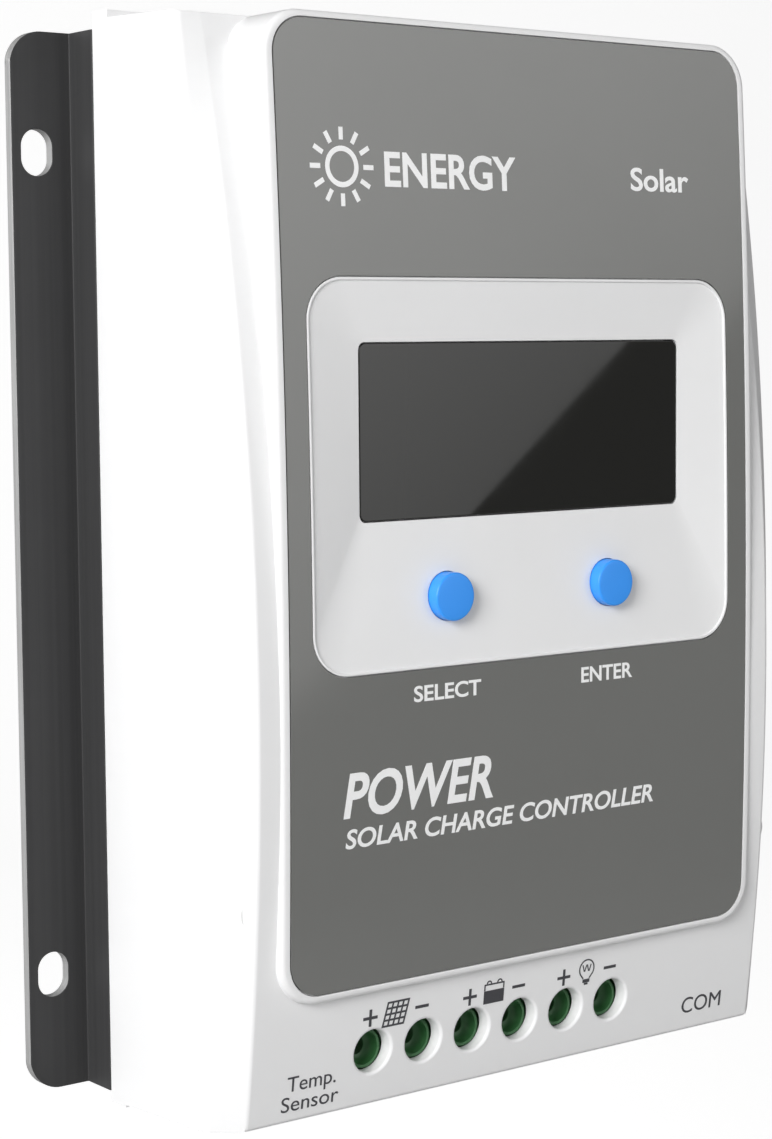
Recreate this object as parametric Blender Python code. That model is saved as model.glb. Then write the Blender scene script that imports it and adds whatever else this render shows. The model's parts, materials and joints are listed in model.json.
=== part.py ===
"""Wall-mounted solar charge controller: finned heat sink, white cover with a raised
front, grey front label, LCD with two push buttons, and six rising-cage terminals.

Axes: X to the right, Y into the wall, Z up. The wall is the plane Y = 0, and the
origin is the centre of the mounting slots on that plane. Sizes below are in
millimetres; "depth" is the distance forward of the wall, so Y = -depth.
"""

import math

import bmesh
import bpy
from mathutils import Matrix, Vector

MM = 0.001
GAP = 0.3  # clearance left between pieces that touch

# Heat sink: an extrusion with two mounting flanges
MOUNT_SPACING = 130.0
HEAT_SINK_HALF_W = 69.5
HEAT_SINK_HALF_H = 83.6
FLANGE_T = 1.8
FLANGE_CORNER_R = 5.5
CHANNEL_HALF_W = 58.9
CHANNEL_WALL = 2.0
PLATE_REAR = 6.0
PLATE_FRONT = 8.6
FIN_PITCH = 9.2
FIN_T = 1.6
FIN_TIP = 0.7
FINS_EACH_SIDE = 5
SLOT_W, SLOT_H = 5.4, 7.2
OUTLINE_TRIM = 0.03  # taken off the extrusion all round when its corners are rounded

# Cover: its front bulges along two arcs, the raised panel along a flatter one
COVER_REAR = PLATE_FRONT + GAP
COVER_HALF_W_REAR = 58.9
COVER_HALF_W_FRONT = 58.0
FRONT_EDGE_HALF_W = 53.2
COVER_Z = (-84.1, 84.1)
LIP_Z = (-85.6, 86.4)
LIP_DEPTH = 4.0
LIP_SIDE = 0.3  # how far a lip stops short of the side walls' outer face
WALL = 2.2
FRONT_WALL = 2.5
CORNER_INSET = 0.55  # how far the inner corner follows the wall's thickness in
FRONT_ARC = {"apex": 43.6, "z": -21.0, "radius": 425.0}
CORNER_ARC = {"apex": 38.8, "z": -15.0, "radius": 582.0}
PANEL_ARC = {"apex": 44.0, "z": -11.5, "radius": 1492.0}
ARC_STATIONS = 25
PLATFORM = {"x": (-49.5, 49.5), "z": (-65.2, 84.5), "r": 7.0}
LABEL = {"x": (-47.8, 47.8), "z": (-63.9, 83.4), "r": 5.6}
LABEL_T = 0.5
LABEL_GAP = 0.2

# Display: a dished bezel moulded in the cover, with the window at its floor
BEZEL = {"x": (-43.4, 43.4), "z": (-15.2, 45.1), "r": 6.6}
BEZEL_STEP = 0.25
WINDOW = {"x": (-33.0, 33.0), "z": (8.0, 35.1), "r": 1.2}
WINDOW_FRONT = 42.1
WINDOW_T = 1.4
WINDOW_LEDGE = 2.0
DISPLAY_BLOCK = {"x": (-45.0, 45.0), "z": (-17.5, 46.9)}
DISPLAY_BLOCK_REAR = 38.6
DISPLAY_BOARD = {"x": (-41.0, 41.0), "z": (-12.0, 43.0)}
DISPLAY_BOARD_REAR = 30.6
BOARD_T = 1.6
LCD_HOLDER = {"x": (-36.5, 36.5), "z": (4.3, 38.8)}
LCD_HOLDER_WALL = 1.4
BACKLIGHT_T, LCD_T = 3.0, 2.4
POST_X, POST_Z = 38.8, (-8.5, 40.8)
POST_R, STAKE_R = 2.2, 1.2
HEADER_X, HEADER_Z = (-12.7, 12.7), (-10.5, -8.0)

# Push buttons
BUTTON_X, BUTTON_Z = 16.8, -4.3
BUTTON_R = 3.8
BUTTON_FRONT = 45.1
BUTTON_FLANGE_R, BUTTON_FLANGE_T = 4.9, 1.3
BUTTON_CROWN = 0.6
BUTTON_TRAVEL = 0.8
SWITCH_SIDE = 6.2
SWITCH_H = 3.4
PLUNGER_R = 1.7

# Main board and what stands on it
BOARD = {"x": (-48.8, 48.8), "z": (-80.8, 78.0)}
BOARD_REAR = 15.2
BOARD_FRONT = BOARD_REAR + BOARD_T
STANDOFFS = [(-43.0, 70.0), (43.0, 70.0), (-43.0, -56.0), (43.0, -56.0)]
COVER_SCREWS = [(-52.2, 50.0), (52.2, 50.0), (-52.2, -50.0), (52.2, -50.0)]
BOSS_R = 2.9
STANDOFF_R, STANDOFF_FLOOR = 3.0, 1.3
SCREW_R = 1.5
PAN_HEAD_R, SCREW_HEAD_H = 2.8, 2.0
BOARD_SCREW_LENGTH, COVER_SCREW_LENGTH = 6.6, 15.0
RECESS = {"long": 1.6, "thin": 0.35, "deep": 1.0}

# Terminals: ten millimetre pitch, screws facing forward, wires from below
POLE_PITCH = 10.0
POLE_Z = -75.3
BLOCKS = {"pv": -25.0, "battery": -5.0, "load": 15.0}
BLOCK_FRONT = 36.2
COLLAR_R, COLLAR_FRONT = 3.2, 37.6
BLOCK_Z = (-81.4, -67.3)
ACCESS_R = 3.5
WIRE_HOLE_HALF_W, WIRE_HOLE_DEPTH = 3.5, (18.6, 26.6)
DRIVER_HOLE_R = 1.9
SCREW_WELL_R = 2.5
SCREW_HEAD_R = 2.1
SCREW_TIP, SCREW_NECK, SCREW_TOP = 26.6, 31.5, 33.7
SCREW_SHANK_R = 1.6
CAGE_HALF_W = 3.6
CAGE_WINDOW_HALF_W = 2.6
CAGE_Z = (-78.3, -72.3)
CAGE_REAR, CAGE_FLOOR, CAGE_CEILING, CAGE_FRONT = 18.6, 20.0, 26.6, 27.8
BAR_REAR, BAR_FRONT = 25.0, 26.2
BAR_HALF_W = 2.2
BAR_FOOT_Z = (CAGE_Z[1] + 1.7, CAGE_Z[1] + 2.9)
ENTRY_HALF_W = 2.6
ENTRY_DEPTH = (20.2, 24.8)
LEAD_IN = 0.4  # the entries are this much wider at their mouths
DRIVER_SLOT = {"half": 0.35, "deep": 1.0}

# Sockets at the bottom edge
SOCKET_Z = -83.6
SENSOR_X, SENSOR_W, SENSOR_H = -41.5, 10.0, 8.6
SENSOR_SIDE, SENSOR_WALL = 1.0, 1.2
SENSOR_TOP_Z, SENSOR_FLOOR_Z = -71.5, -74.5
SENSOR_PITCH, SENSOR_PIN_HALF, SENSOR_PIN_Z = 3.8, 0.5, -81.0
COM_X, COM_W, COM_H = 41.0, 15.6, 13.4
COM_TOP_Z, COM_FLOOR_Z = -66.0, -69.0
COM_MOUTH = (6.0, 3.0, 11.6)  # half width, then from and to, in front of the socket's back
COM_LATCH = (3.2, 1.2, 4.0)

# Power parts
INDUCTOR_X, INDUCTOR_Z = -20.0, -38.0
INDUCTOR_RING_R, INDUCTOR_WIRE_R, INDUCTOR_SIDES = 13.5, 5.6, 14
CANS = {"pv_capacitor_1": -27.0, "pv_capacitor_2": -7.0, "battery_capacitor": 14.0}
CAN_R, CAN_H, CAN_Z = 8.0, 19.2, 61.0
PAD_X, PAD_Z, PAD_T = (-34.0, 34.0), (14.0, 36.0), 0.4
TRANSISTORS = {"buck_transistor_1": -22.0, "buck_transistor_2": 0.0, "load_transistor": 22.0}
TAB_Z, TAB_T, TAB_HOLE_R, BODY_T = (16.0, 32.0), 1.3, 1.8, 4.4
LEG_PITCH, LEG_HALF_W, LEG_REACH = 2.54, 0.4, 4.0

FINISHES = {
    "anodised": ((0.045, 0.045, 0.050), 0.45, 0.6),
    "white_abs": ((0.86, 0.86, 0.86), 0.42, 0.0),
    "label_grey": ((0.25, 0.25, 0.24), 0.38, 0.0),
    "clear": ((0.05, 0.05, 0.05), 0.06, 0.0),
    "lcd": ((0.10, 0.11, 0.10), 0.15, 0.0),
    "frame_black": ((0.03, 0.03, 0.03), 0.5, 0.0),
    "backlight": ((0.80, 0.82, 0.84), 0.35, 0.0),
    "board_green": ((0.02, 0.16, 0.07), 0.4, 0.0),
    "button_blue": ((0.05, 0.29, 0.96), 0.38, 0.0),
    "black_plastic": ((0.02, 0.02, 0.02), 0.45, 0.0),
    "terminal_green": ((0.03, 0.22, 0.07), 0.42, 0.0),
    "nickel": ((0.62, 0.60, 0.56), 0.3, 1.0),
    "copper_tin": ((0.72, 0.70, 0.66), 0.35, 1.0),
    "ferrite": ((0.45, 0.22, 0.09), 0.35, 0.3),
    "can": ((0.10, 0.12, 0.30), 0.35, 0.2),
    "pad": ((0.55, 0.56, 0.60), 0.8, 0.0),
    "steel": ((0.55, 0.55, 0.56), 0.35, 1.0),
}


def clear_scene():
    for obj in list(bpy.data.objects):
        bpy.data.objects.remove(obj, do_unlink=True)


def material(finish):
    found = bpy.data.materials.get(finish)
    if found:
        return found
    colour, roughness, metallic = FINISHES[finish]
    made = bpy.data.materials.new(finish)
    made.use_nodes = True
    shader = made.node_tree.nodes["Principled BSDF"]
    shader.inputs["Base Color"].default_value = (*colour, 1.0)
    shader.inputs["Roughness"].default_value = roughness
    shader.inputs["Metallic"].default_value = metallic
    made.diffuse_color = (*colour, 1.0)
    return made


def arc_depth(arc, z):
    """Depth of an arc of large radius at height z."""
    return arc["apex"] - (z - arc["z"]) ** 2 / (2 * arc["radius"])


def stations(low, high, count=ARC_STATIONS):
    return [low + (high - low) * i / (count - 1) for i in range(count)]


def grown(outline, by):
    """The same rounded rectangle, larger by a margin on every side."""
    (x0, x1), (z0, z1) = outline["x"], outline["z"]
    return {"x": (x0 - by, x1 + by), "z": (z0 - by, z1 + by), "r": outline.get("r", 0) + by}


def rounded_rectangle(outline, segments=6):
    """Points (x, z) of a rounded rectangle, anticlockwise."""
    (x0, x1), (z0, z1), r = outline["x"], outline["z"], outline.get("r", 0)
    if r <= 0:
        return [(x0, z0), (x1, z0), (x1, z1), (x0, z1)]
    points = []
    centres = (x1 - r, z0 + r, 270), (x1 - r, z1 - r, 0), (x0 + r, z1 - r, 90), (x0 + r, z0 + r, 180)
    for cx, cz, start in centres:
        for i in range(segments + 1):
            angle = math.radians(start + 90 * i / segments)
            points.append((cx + r * math.cos(angle), cz + r * math.sin(angle)))
    return points


def make(name, bm, finish, origin=(0, 0, 0), smooth=False):
    """Turns a bmesh in millimetres into an object with its origin where it is asked for."""
    bmesh.ops.recalc_face_normals(bm, faces=bm.faces)
    bmesh.ops.translate(bm, verts=bm.verts, vec=-Vector(origin))
    bmesh.ops.scale(bm, verts=bm.verts, vec=(MM, MM, MM))
    mesh = bpy.data.meshes.new(name)
    bm.to_mesh(mesh)
    bm.free()
    if smooth:
        mesh.shade_smooth()
        mesh.set_sharp_from_angle(angle=math.radians(35))
    obj = bpy.data.objects.new(name, mesh)
    obj.location = Vector(origin) * MM
    bpy.context.collection.objects.link(obj)
    if finish:
        mesh.materials.append(material(finish))
    else:
        obj.hide_render = True
        obj.display_type = "WIRE"
    return obj


def box(x, depth, z):
    size = Vector((x[1] - x[0], depth[1] - depth[0], z[1] - z[0]))
    centre = Vector(((x[0] + x[1]) / 2, -(depth[0] + depth[1]) / 2, (z[0] + z[1]) / 2))
    bm = bmesh.new()
    bmesh.ops.create_cube(bm, size=1.0, matrix=Matrix.LocRotScale(centre, None, size))
    return bm


def cylinder(x, z, radius, depth, sides=16):
    """A cylinder along Y, between two depths."""
    low, high = depth
    place = Matrix.Translation((x, -(low + high) / 2, z)) @ Matrix.Rotation(math.pi / 2, 4, "X")
    bm = bmesh.new()
    bmesh.ops.create_cone(
        bm, cap_ends=True, segments=sides, radius1=radius, radius2=radius, depth=high - low, matrix=place
    )
    return bm


def loft(loops):
    """Joins loops of points (x, depth, z), each with as many points, and caps both ends."""
    bm = bmesh.new()
    rings = []
    for loop in loops:
        verts = [bm.verts.new((x, -depth, z)) for x, depth, z in loop]
        edges = [bm.edges.new((a, b)) for a, b in zip(verts, verts[1:] + verts[:1])]
        rings.append((verts, edges))
    for (_, below), (_, above) in zip(rings, rings[1:]):
        bmesh.ops.bridge_loops(bm, edges=below + above)
    bm.faces.new(rings[0][0])
    bm.faces.new(rings[-1][0])
    return bm


def prism(outline, depth, segments=6):
    """A rounded rectangle in the wall plane, drawn out between two depths."""
    points = rounded_rectangle(outline, segments)
    return loft([[(x, d, z) for x, z in points] for d in depth])


def extrude_x(profile, x):
    """A profile of (depth, z) points, drawn out from one x to another."""
    return loft([[(end, depth, z) for depth, z in profile] for end in x])


def extrude_z(profile, z):
    """A profile of (x, depth) points, drawn out from one z to another."""
    return loft([[(x, depth, end) for x, depth in profile] for end in z])


def boolean(obj, operation, helper):
    modifier = obj.modifiers.new(f"{operation.title()} {len(obj.modifiers) + 1}", "BOOLEAN")
    modifier.operation = operation
    modifier.solver = "EXACT"
    modifier.object = helper


def cut(obj, bm):
    boolean(obj, "DIFFERENCE", make(f"cutter_{obj.name}_{len(obj.modifiers)}", bm, None))


def join(obj, bm):
    boolean(obj, "UNION", make(f"join_{obj.name}_{len(obj.modifiers)}", bm, None))


def arc_block(arc, rear, offset=0.0):
    """A block behind an arc, wider and taller than the cover."""
    heights = stations(-95, 95, ARC_STATIONS)
    profile = [(arc_depth(arc, z) + offset, z) for z in heights]
    return extrude_x([(rear, heights[0])] + profile + [(rear, heights[-1])], (-70, 70))


def behind_arc(name, outline, rear, arc, offset=0.0, segments=6):
    """A helper: a rounded rectangle drawn forward and ended on an arc."""
    helper = make(name, prism(outline, (rear, 60), segments), None)
    boolean(helper, "INTERSECT", make(name + "_arc", arc_block(arc, rear - 2, offset), None))
    return helper


def heat_sink():
    half, wall = CHANNEL_HALF_W, CHANNEL_WALL
    right = [(half - wall, PLATE_REAR), (half - wall, 0), (HEAT_SINK_HALF_W, 0)]
    right += [(HEAT_SINK_HALF_W, FLANGE_T), (half, FLANGE_T), (half, PLATE_FRONT)]
    fins = []
    for i in range(-FINS_EACH_SIDE, FINS_EACH_SIDE + 1):
        left, edge = i * FIN_PITCH - FIN_T / 2, i * FIN_PITCH + FIN_T / 2
        fins += [(left, PLATE_REAR), (left, FIN_TIP), (edge, FIN_TIP), (edge, PLATE_REAR)]
    profile = fins + right + [(-x, depth) for x, depth in reversed(right)]
    obj = make("heat_sink", extrude_z(profile, (-HEAT_SINK_HALF_H, HEAT_SINK_HALF_H)), "anodised")
    wide, tall = HEAT_SINK_HALF_W, HEAT_SINK_HALF_H
    outline = grown({"x": (-wide, wide), "z": (-tall, tall), "r": FLANGE_CORNER_R}, -OUTLINE_TRIM)
    corners = make("heat_sink_outline", prism(outline, (-3, PLATE_FRONT + 3)), None)
    boolean(obj, "INTERSECT", corners)
    for x in (-MOUNT_SPACING / 2, MOUNT_SPACING / 2):
        for z in (-MOUNT_SPACING / 2, MOUNT_SPACING / 2):
            slot = {"x": (x - SLOT_W / 2, x + SLOT_W / 2), "z": (z - SLOT_H / 2, z + SLOT_H / 2)}
            cut(obj, prism({**slot, "r": SLOT_W / 2 - 0.01}, (-1, FLANGE_T + 1)))
    for x, z in COVER_SCREWS:
        cut(obj, cylinder(x, z, SCREW_R + GAP, (PLATE_REAR - 1, PLATE_FRONT + 1)))


def cover_ring(z, inset):
    """Cross-section of the cover at height z; the inset is none, or the wall."""
    rear_x = COVER_HALF_W_REAR - inset
    side_x = COVER_HALF_W_FRONT - inset
    corner_inset = inset * CORNER_INSET
    side_depth = arc_depth(CORNER_ARC, z) - corner_inset
    edge_x = FRONT_EDGE_HALF_W - corner_inset
    edge_depth = arc_depth(FRONT_ARC, z) - (FRONT_WALL if inset else 0)
    rear = COVER_REAR - (1.0 if inset else 0)
    half = [(rear_x, rear, z), (side_x, side_depth, z), (edge_x, edge_depth, z)]
    return half + [(-x, depth, height) for x, depth, height in reversed(half)]


def cover_body():
    """The shell with its raised panel, lips and cavity."""
    outer = [cover_ring(z, 0) for z in stations(*COVER_Z)]
    obj = make("cover", loft(outer), "white_abs")
    boolean(obj, "UNION", behind_arc("platform_form", PLATFORM, 25, PANEL_ARC))
    half = COVER_HALF_W_REAR - LIP_SIDE
    for low, high in ((LIP_Z[0], COVER_Z[0] + 1), (COVER_Z[1] - 1, LIP_Z[1])):
        join(obj, box((-half, half), (COVER_REAR + 0.05, COVER_REAR + LIP_DEPTH), (low, high)))
    inner = [cover_ring(z, WALL) for z in stations(COVER_Z[0] + WALL, COVER_Z[1] - WALL)]
    cut(obj, loft(inner))
    hollow = grown(PLATFORM, -FRONT_WALL + 0.1)
    boolean(obj, "DIFFERENCE", behind_arc("platform_hollow", hollow, 22, PANEL_ARC, -FRONT_WALL))
    return obj


def cover_fixings(obj):
    """Screw bosses on the side walls, and stakes for the display board."""
    for x, z in COVER_SCREWS:
        side = math.copysign(1, x)
        top = arc_depth(FRONT_ARC, z) - 1.6
        join(obj, cylinder(x, z, BOSS_R, (COVER_REAR + 0.1, top)))
        rib = sorted((x + side * 2.0, side * (CHANNEL_HALF_W - 1.6)))
        join(obj, box(rib, (COVER_REAR + 0.4, arc_depth(CORNER_ARC, z) - 4), (z - 0.8, z + 0.8)))
        cut(obj, cylinder(x, z, SCREW_R + GAP, (COVER_REAR - 1, 24)))
    for x in (-POST_X, POST_X):
        for z in POST_Z:
            board_front = DISPLAY_BOARD_REAR + BOARD_T
            join(obj, cylinder(x, z, POST_R, (board_front + GAP, DISPLAY_BLOCK_REAR + 1), 12))
            join(obj, cylinder(x, z, STAKE_R, (DISPLAY_BOARD_REAR - 0.8, board_front + 2), 12))


def cover_front(obj):
    """The label recess, the dished bezel with its window, and the button bores."""
    block = DISPLAY_BLOCK
    join(obj, box(block["x"], (DISPLAY_BLOCK_REAR, 42.0), block["z"]))
    recess = behind_arc("label_recess", LABEL, 35, {**PANEL_ARC, "apex": 47}, 0)
    boolean(recess, "DIFFERENCE", make("recess_island", prism(BEZEL, (30, 60)), None))
    floor = make("recess_floor", arc_block(PANEL_ARC, 30, -LABEL_T - LABEL_GAP), None)
    boolean(recess, "DIFFERENCE", floor)
    boolean(obj, "DIFFERENCE", recess)
    edge = rounded_rectangle(grown(BEZEL, -0.4))
    mouth = rounded_rectangle({**grown(WINDOW, LABEL_GAP), "r": WINDOW["r"]})
    dish = [
        [(x, 48, z) for x, z in edge],
        [(x, arc_depth(PANEL_ARC, z) - BEZEL_STEP, z) for x, z in edge],
        [(x, WINDOW_FRONT, z) for x, z in mouth],
    ]
    cut(obj, loft(dish))
    pocket = {**grown(WINDOW, LABEL_GAP), "r": WINDOW["r"]}
    cut(obj, prism(pocket, (WINDOW_FRONT - WINDOW_T - 2 * LABEL_GAP, 44)))
    cut(obj, prism({**grown(WINDOW, -WINDOW_LEDGE), "r": 1.0}, (DISPLAY_BLOCK_REAR - 2, 43)))
    for x in (-BUTTON_X, BUTTON_X):
        cut(obj, cylinder(x, BUTTON_Z, BUTTON_R + GAP, (DISPLAY_BLOCK_REAR - 2, 48), 24))


def pole_positions():
    """Name and x of each terminal, from left to right."""
    for name, centre in BLOCKS.items():
        yield f"{name}_plus", centre - POLE_PITCH / 2
        yield f"{name}_minus", centre + POLE_PITCH / 2


def cover_openings(obj):
    """Screwdriver holes in front, wire entries and socket openings below."""
    below = (COVER_Z[0] - 4, COVER_Z[0] + WALL + 1)
    for _, x in pole_positions():
        cut(obj, cylinder(x, POLE_Z, ACCESS_R, (BLOCK_FRONT - 0.2, PANEL_ARC["apex"] + 1), 20))
        cut(obj, box((x - WIRE_HOLE_HALF_W, x + WIRE_HOLE_HALF_W), WIRE_HOLE_DEPTH, below))
    for x, width, height in ((SENSOR_X, SENSOR_W, SENSOR_H), (COM_X, COM_W, COM_H)):
        half = width / 2 + GAP
        cut(obj, box((x - half, x + half), (BOARD_FRONT, BOARD_FRONT + 2 * GAP + height), below))


def cover():
    obj = cover_body()
    cover_front(obj)
    cover_fixings(obj)
    cover_openings(obj)


def front_label():
    """A film bent to the raised panel's arc, with an opening around the bezel."""
    obj = make("front_label", prism(grown(LABEL, -LABEL_GAP), (35, 60)), "label_grey")
    boolean(obj, "INTERSECT", make("label_front", arc_block(PANEL_ARC, 30), None))
    boolean(obj, "DIFFERENCE", make("label_rear", arc_block(PANEL_ARC, 28, -LABEL_T), None))
    boolean(obj, "DIFFERENCE", make("label_window", prism(grown(BEZEL, LABEL_GAP), (25, 70)), None))


def display():
    front = WINDOW_FRONT - 0.05
    make("lcd_window", prism(WINDOW, (front - WINDOW_T, front)), "clear")
    wall = LCD_HOLDER_WALL
    board_front = DISPLAY_BOARD_REAR + BOARD_T
    frame = prism(LCD_HOLDER, (board_front + GAP, DISPLAY_BLOCK_REAR - 0.4))
    holder = make("lcd_holder", frame, "frame_black")
    cut(holder, prism(grown(LCD_HOLDER, -wall), (board_front - 2, DISPLAY_BLOCK_REAR + 2)))
    seat = {**grown(LCD_HOLDER, -wall - GAP), "r": 0}
    backlight_front = board_front + BACKLIGHT_T
    make("lcd_backlight", prism(seat, (board_front + GAP, backlight_front)), "backlight")
    make("lcd_glass", prism(seat, (backlight_front + GAP, backlight_front + GAP + LCD_T)), "lcd")
    board = make("display_board", prism(DISPLAY_BOARD, (DISPLAY_BOARD_REAR, board_front)), "board_green")
    for x in (-POST_X, POST_X):
        for z in POST_Z:
            cut(board, cylinder(x, z, STAKE_R + GAP, (DISPLAY_BOARD_REAR - 2, board_front + 2), 12))
    header = box(HEADER_X, (BOARD_FRONT + GAP, DISPLAY_BOARD_REAR - GAP), HEADER_Z)
    make("board_link_header", header, "black_plastic")


def button(name, x):
    """A push button with its snap flange, and the tactile switch behind it."""
    origin = (x, -DISPLAY_BLOCK_REAR, BUTTON_Z)
    flange_front = DISPLAY_BLOCK_REAR - 0.4
    flange_rear = flange_front - BUTTON_FLANGE_T
    cap = [(BUTTON_FLANGE_R, flange_rear), (BUTTON_FLANGE_R, flange_front), (BUTTON_R, flange_front)]
    cap += [(BUTTON_R, BUTTON_FRONT - BUTTON_CROWN), (BUTTON_R - 0.2, BUTTON_FRONT - BUTTON_CROWN / 2)]
    cap += [(BUTTON_R - BUTTON_CROWN, BUTTON_FRONT)]
    make(f"{name}_button", turned(x, BUTTON_Z, cap), "button_blue", origin, smooth=True)

    switch_rear = DISPLAY_BOARD_REAR + BOARD_T + GAP
    switch_front = switch_rear + SWITCH_H
    half = SWITCH_SIDE / 2
    body = box((x - half, x + half), (switch_rear, switch_front), (BUTTON_Z - half, BUTTON_Z + half))
    switch = make(f"{name}_switch", body, "black_plastic")
    cut(switch, cylinder(x, BUTTON_Z, PLUNGER_R + GAP, (switch_rear + 0.7, switch_front + 2)))
    plunger = cylinder(x, BUTTON_Z, PLUNGER_R, (switch_rear + 0.9 + BUTTON_TRAVEL, flange_rear - GAP))
    make(f"{name}_plunger", plunger, "black_plastic", origin, smooth=True)


def turned(x, z, profile, sides=24):
    """A solid of revolution about an axis along Y, from (radius, depth) points."""
    bm = bmesh.new()
    points = [(0, profile[0][1])] + profile + [(0, profile[-1][1])]
    verts = [bm.verts.new((x + radius, -depth, z)) for radius, depth in points]
    edges = [bm.edges.new(pair) for pair in zip(verts, verts[1:])]
    bmesh.ops.spin(
        bm, geom=verts + edges, cent=(x, 0, z), axis=(0, 1, 0), angle=2 * math.pi, steps=sides, use_merge=True
    )
    bmesh.ops.remove_doubles(bm, verts=bm.verts, dist=0.001)
    return bm


def main_board():
    obj = make("main_board", prism(BOARD, (BOARD_REAR, BOARD_FRONT)), "board_green")
    for x, z in STANDOFFS:
        cut(obj, cylinder(x, z, SCREW_R + GAP, (BOARD_REAR - 2, BOARD_FRONT + 2)))
    for i, (x, z) in enumerate(STANDOFFS, 1):
        hexagon = cylinder(x, z, STANDOFF_R, (PLATE_FRONT + GAP, BOARD_REAR - GAP), 6)
        post = make(f"standoff_{i}", hexagon, "nickel")
        cut(post, cylinder(x, z, SCREW_R + GAP, (PLATE_FRONT + STANDOFF_FLOOR, BOARD_REAR + 1)))
        screw(f"board_screw_{i}", x, z, BOARD_FRONT + GAP, 1)
    for i, (x, z) in enumerate(COVER_SCREWS, 1):
        screw(f"cover_screw_{i}", x, z, PLATE_REAR - GAP, -1)


def screw(name, x, z, seat, facing):
    """A pan-head screw with a cross recess; its head faces forward (1) or back (-1)."""
    length = BOARD_SCREW_LENGTH if facing > 0 else COVER_SCREW_LENGTH
    ends = sorted((seat, seat + facing * SCREW_HEAD_H))
    shank = sorted((seat + facing * 0.5, seat - facing * length))
    obj = make(name, cylinder(x, z, PAN_HEAD_R, ends, 16), "steel", smooth=True)
    join(obj, cylinder(x, z, SCREW_R, shank, 12))
    recess = sorted((seat + facing * (SCREW_HEAD_H - RECESS["deep"]), seat + facing * (SCREW_HEAD_H + 1)))
    for wide, tall in ((RECESS["long"], RECESS["thin"]), (RECESS["thin"], RECESS["long"])):
        cut(obj, box((x - wide, x + wide), recess, (z - tall, z + tall)))


def terminal_block(name, centre):
    """A two-pole housing: a cage cavity, screw well and wire entry for each pole."""
    half = POLE_PITCH - GAP / 2
    rear = BOARD_FRONT + GAP
    housing = box((centre - half, centre + half), (rear, BLOCK_FRONT), BLOCK_Z)
    obj = make(f"{name}_terminal_block", housing, "terminal_green")
    lead_in = (ENTRY_DEPTH[0] - LEAD_IN, ENTRY_DEPTH[1] + LEAD_IN)
    for x in (centre - POLE_PITCH / 2, centre + POLE_PITCH / 2):
        join(obj, cylinder(x, POLE_Z, COLLAR_R, (BLOCK_FRONT - 1, COLLAR_FRONT), 20))
        cavity = (CAGE_REAR - 0.4, SCREW_NECK - GAP)
        wide = CAGE_HALF_W + 0.4
        cut(obj, box((x - wide, x + wide), cavity, (CAGE_Z[0] - 0.4, CAGE_Z[1] + 0.7)))
        wide = BAR_HALF_W + 0.4
        foot = (CAGE_Z[1] + GAP, BAR_FOOT_Z[1] + 0.5)
        cut(obj, box((x - wide, x + wide), (rear - 1, BAR_FRONT + 0.7), foot))
        cut(obj, cylinder(x, POLE_Z, SCREW_WELL_R, (SCREW_NECK - 1, SCREW_TOP + 0.4)))
        cut(obj, cylinder(x, POLE_Z, DRIVER_HOLE_R, (SCREW_TOP, COLLAR_FRONT + 1)))
        cut(obj, box((x - ENTRY_HALF_W, x + ENTRY_HALF_W), ENTRY_DEPTH, (BLOCK_Z[0] - 1, CAGE_Z[0] + 0.5)))
        wide = ENTRY_HALF_W + LEAD_IN
        cut(obj, box((x - wide, x + wide), lead_in, (BLOCK_Z[0] - 1, BLOCK_Z[0] + 1.2)))


def pole(name, x):
    """The moving screw and cage of one terminal, and its fixed contact bar."""
    axis = (x, -SCREW_TIP, POLE_Z)
    head = cylinder(x, POLE_Z, SCREW_HEAD_R, (SCREW_NECK, SCREW_TOP), 20)
    obj = make(f"{name}_screw", head, "nickel", axis, smooth=True)
    join(obj, cylinder(x, POLE_Z, SCREW_SHANK_R, (SCREW_TIP, SCREW_NECK + 0.5), 12))
    half, deep = DRIVER_SLOT["half"], DRIVER_SLOT["deep"]
    wide = SCREW_HEAD_R + 1
    cut(obj, box((x - wide, x + wide), (SCREW_TOP - deep, SCREW_TOP + 1), (POLE_Z - half, POLE_Z + half)))

    outside = box((x - CAGE_HALF_W, x + CAGE_HALF_W), (CAGE_REAR, CAGE_FRONT), CAGE_Z)
    cage = make(f"{name}_cage", outside, "nickel", axis)
    window = (x - CAGE_WINDOW_HALF_W, x + CAGE_WINDOW_HALF_W)
    cut(cage, box(window, (CAGE_FLOOR, CAGE_CEILING), (CAGE_Z[0] - 1, CAGE_Z[1] + 1)))
    cut(cage, cylinder(x, POLE_Z, SCREW_SHANK_R + GAP, (CAGE_CEILING - 1, CAGE_FRONT + 1), 12))

    sides = (x - BAR_HALF_W, x + BAR_HALF_W)
    low, high = BAR_FOOT_Z
    end = CAGE_Z[0] - 0.1
    bar = [(BAR_FRONT, end), (BAR_FRONT, high), (BOARD_FRONT + GAP, high)]
    bar += [(BOARD_FRONT + GAP, low), (BAR_REAR, low), (BAR_REAR, end)]
    make(f"{name}_contact", extrude_x(bar, sides), "copper_tin")


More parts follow.
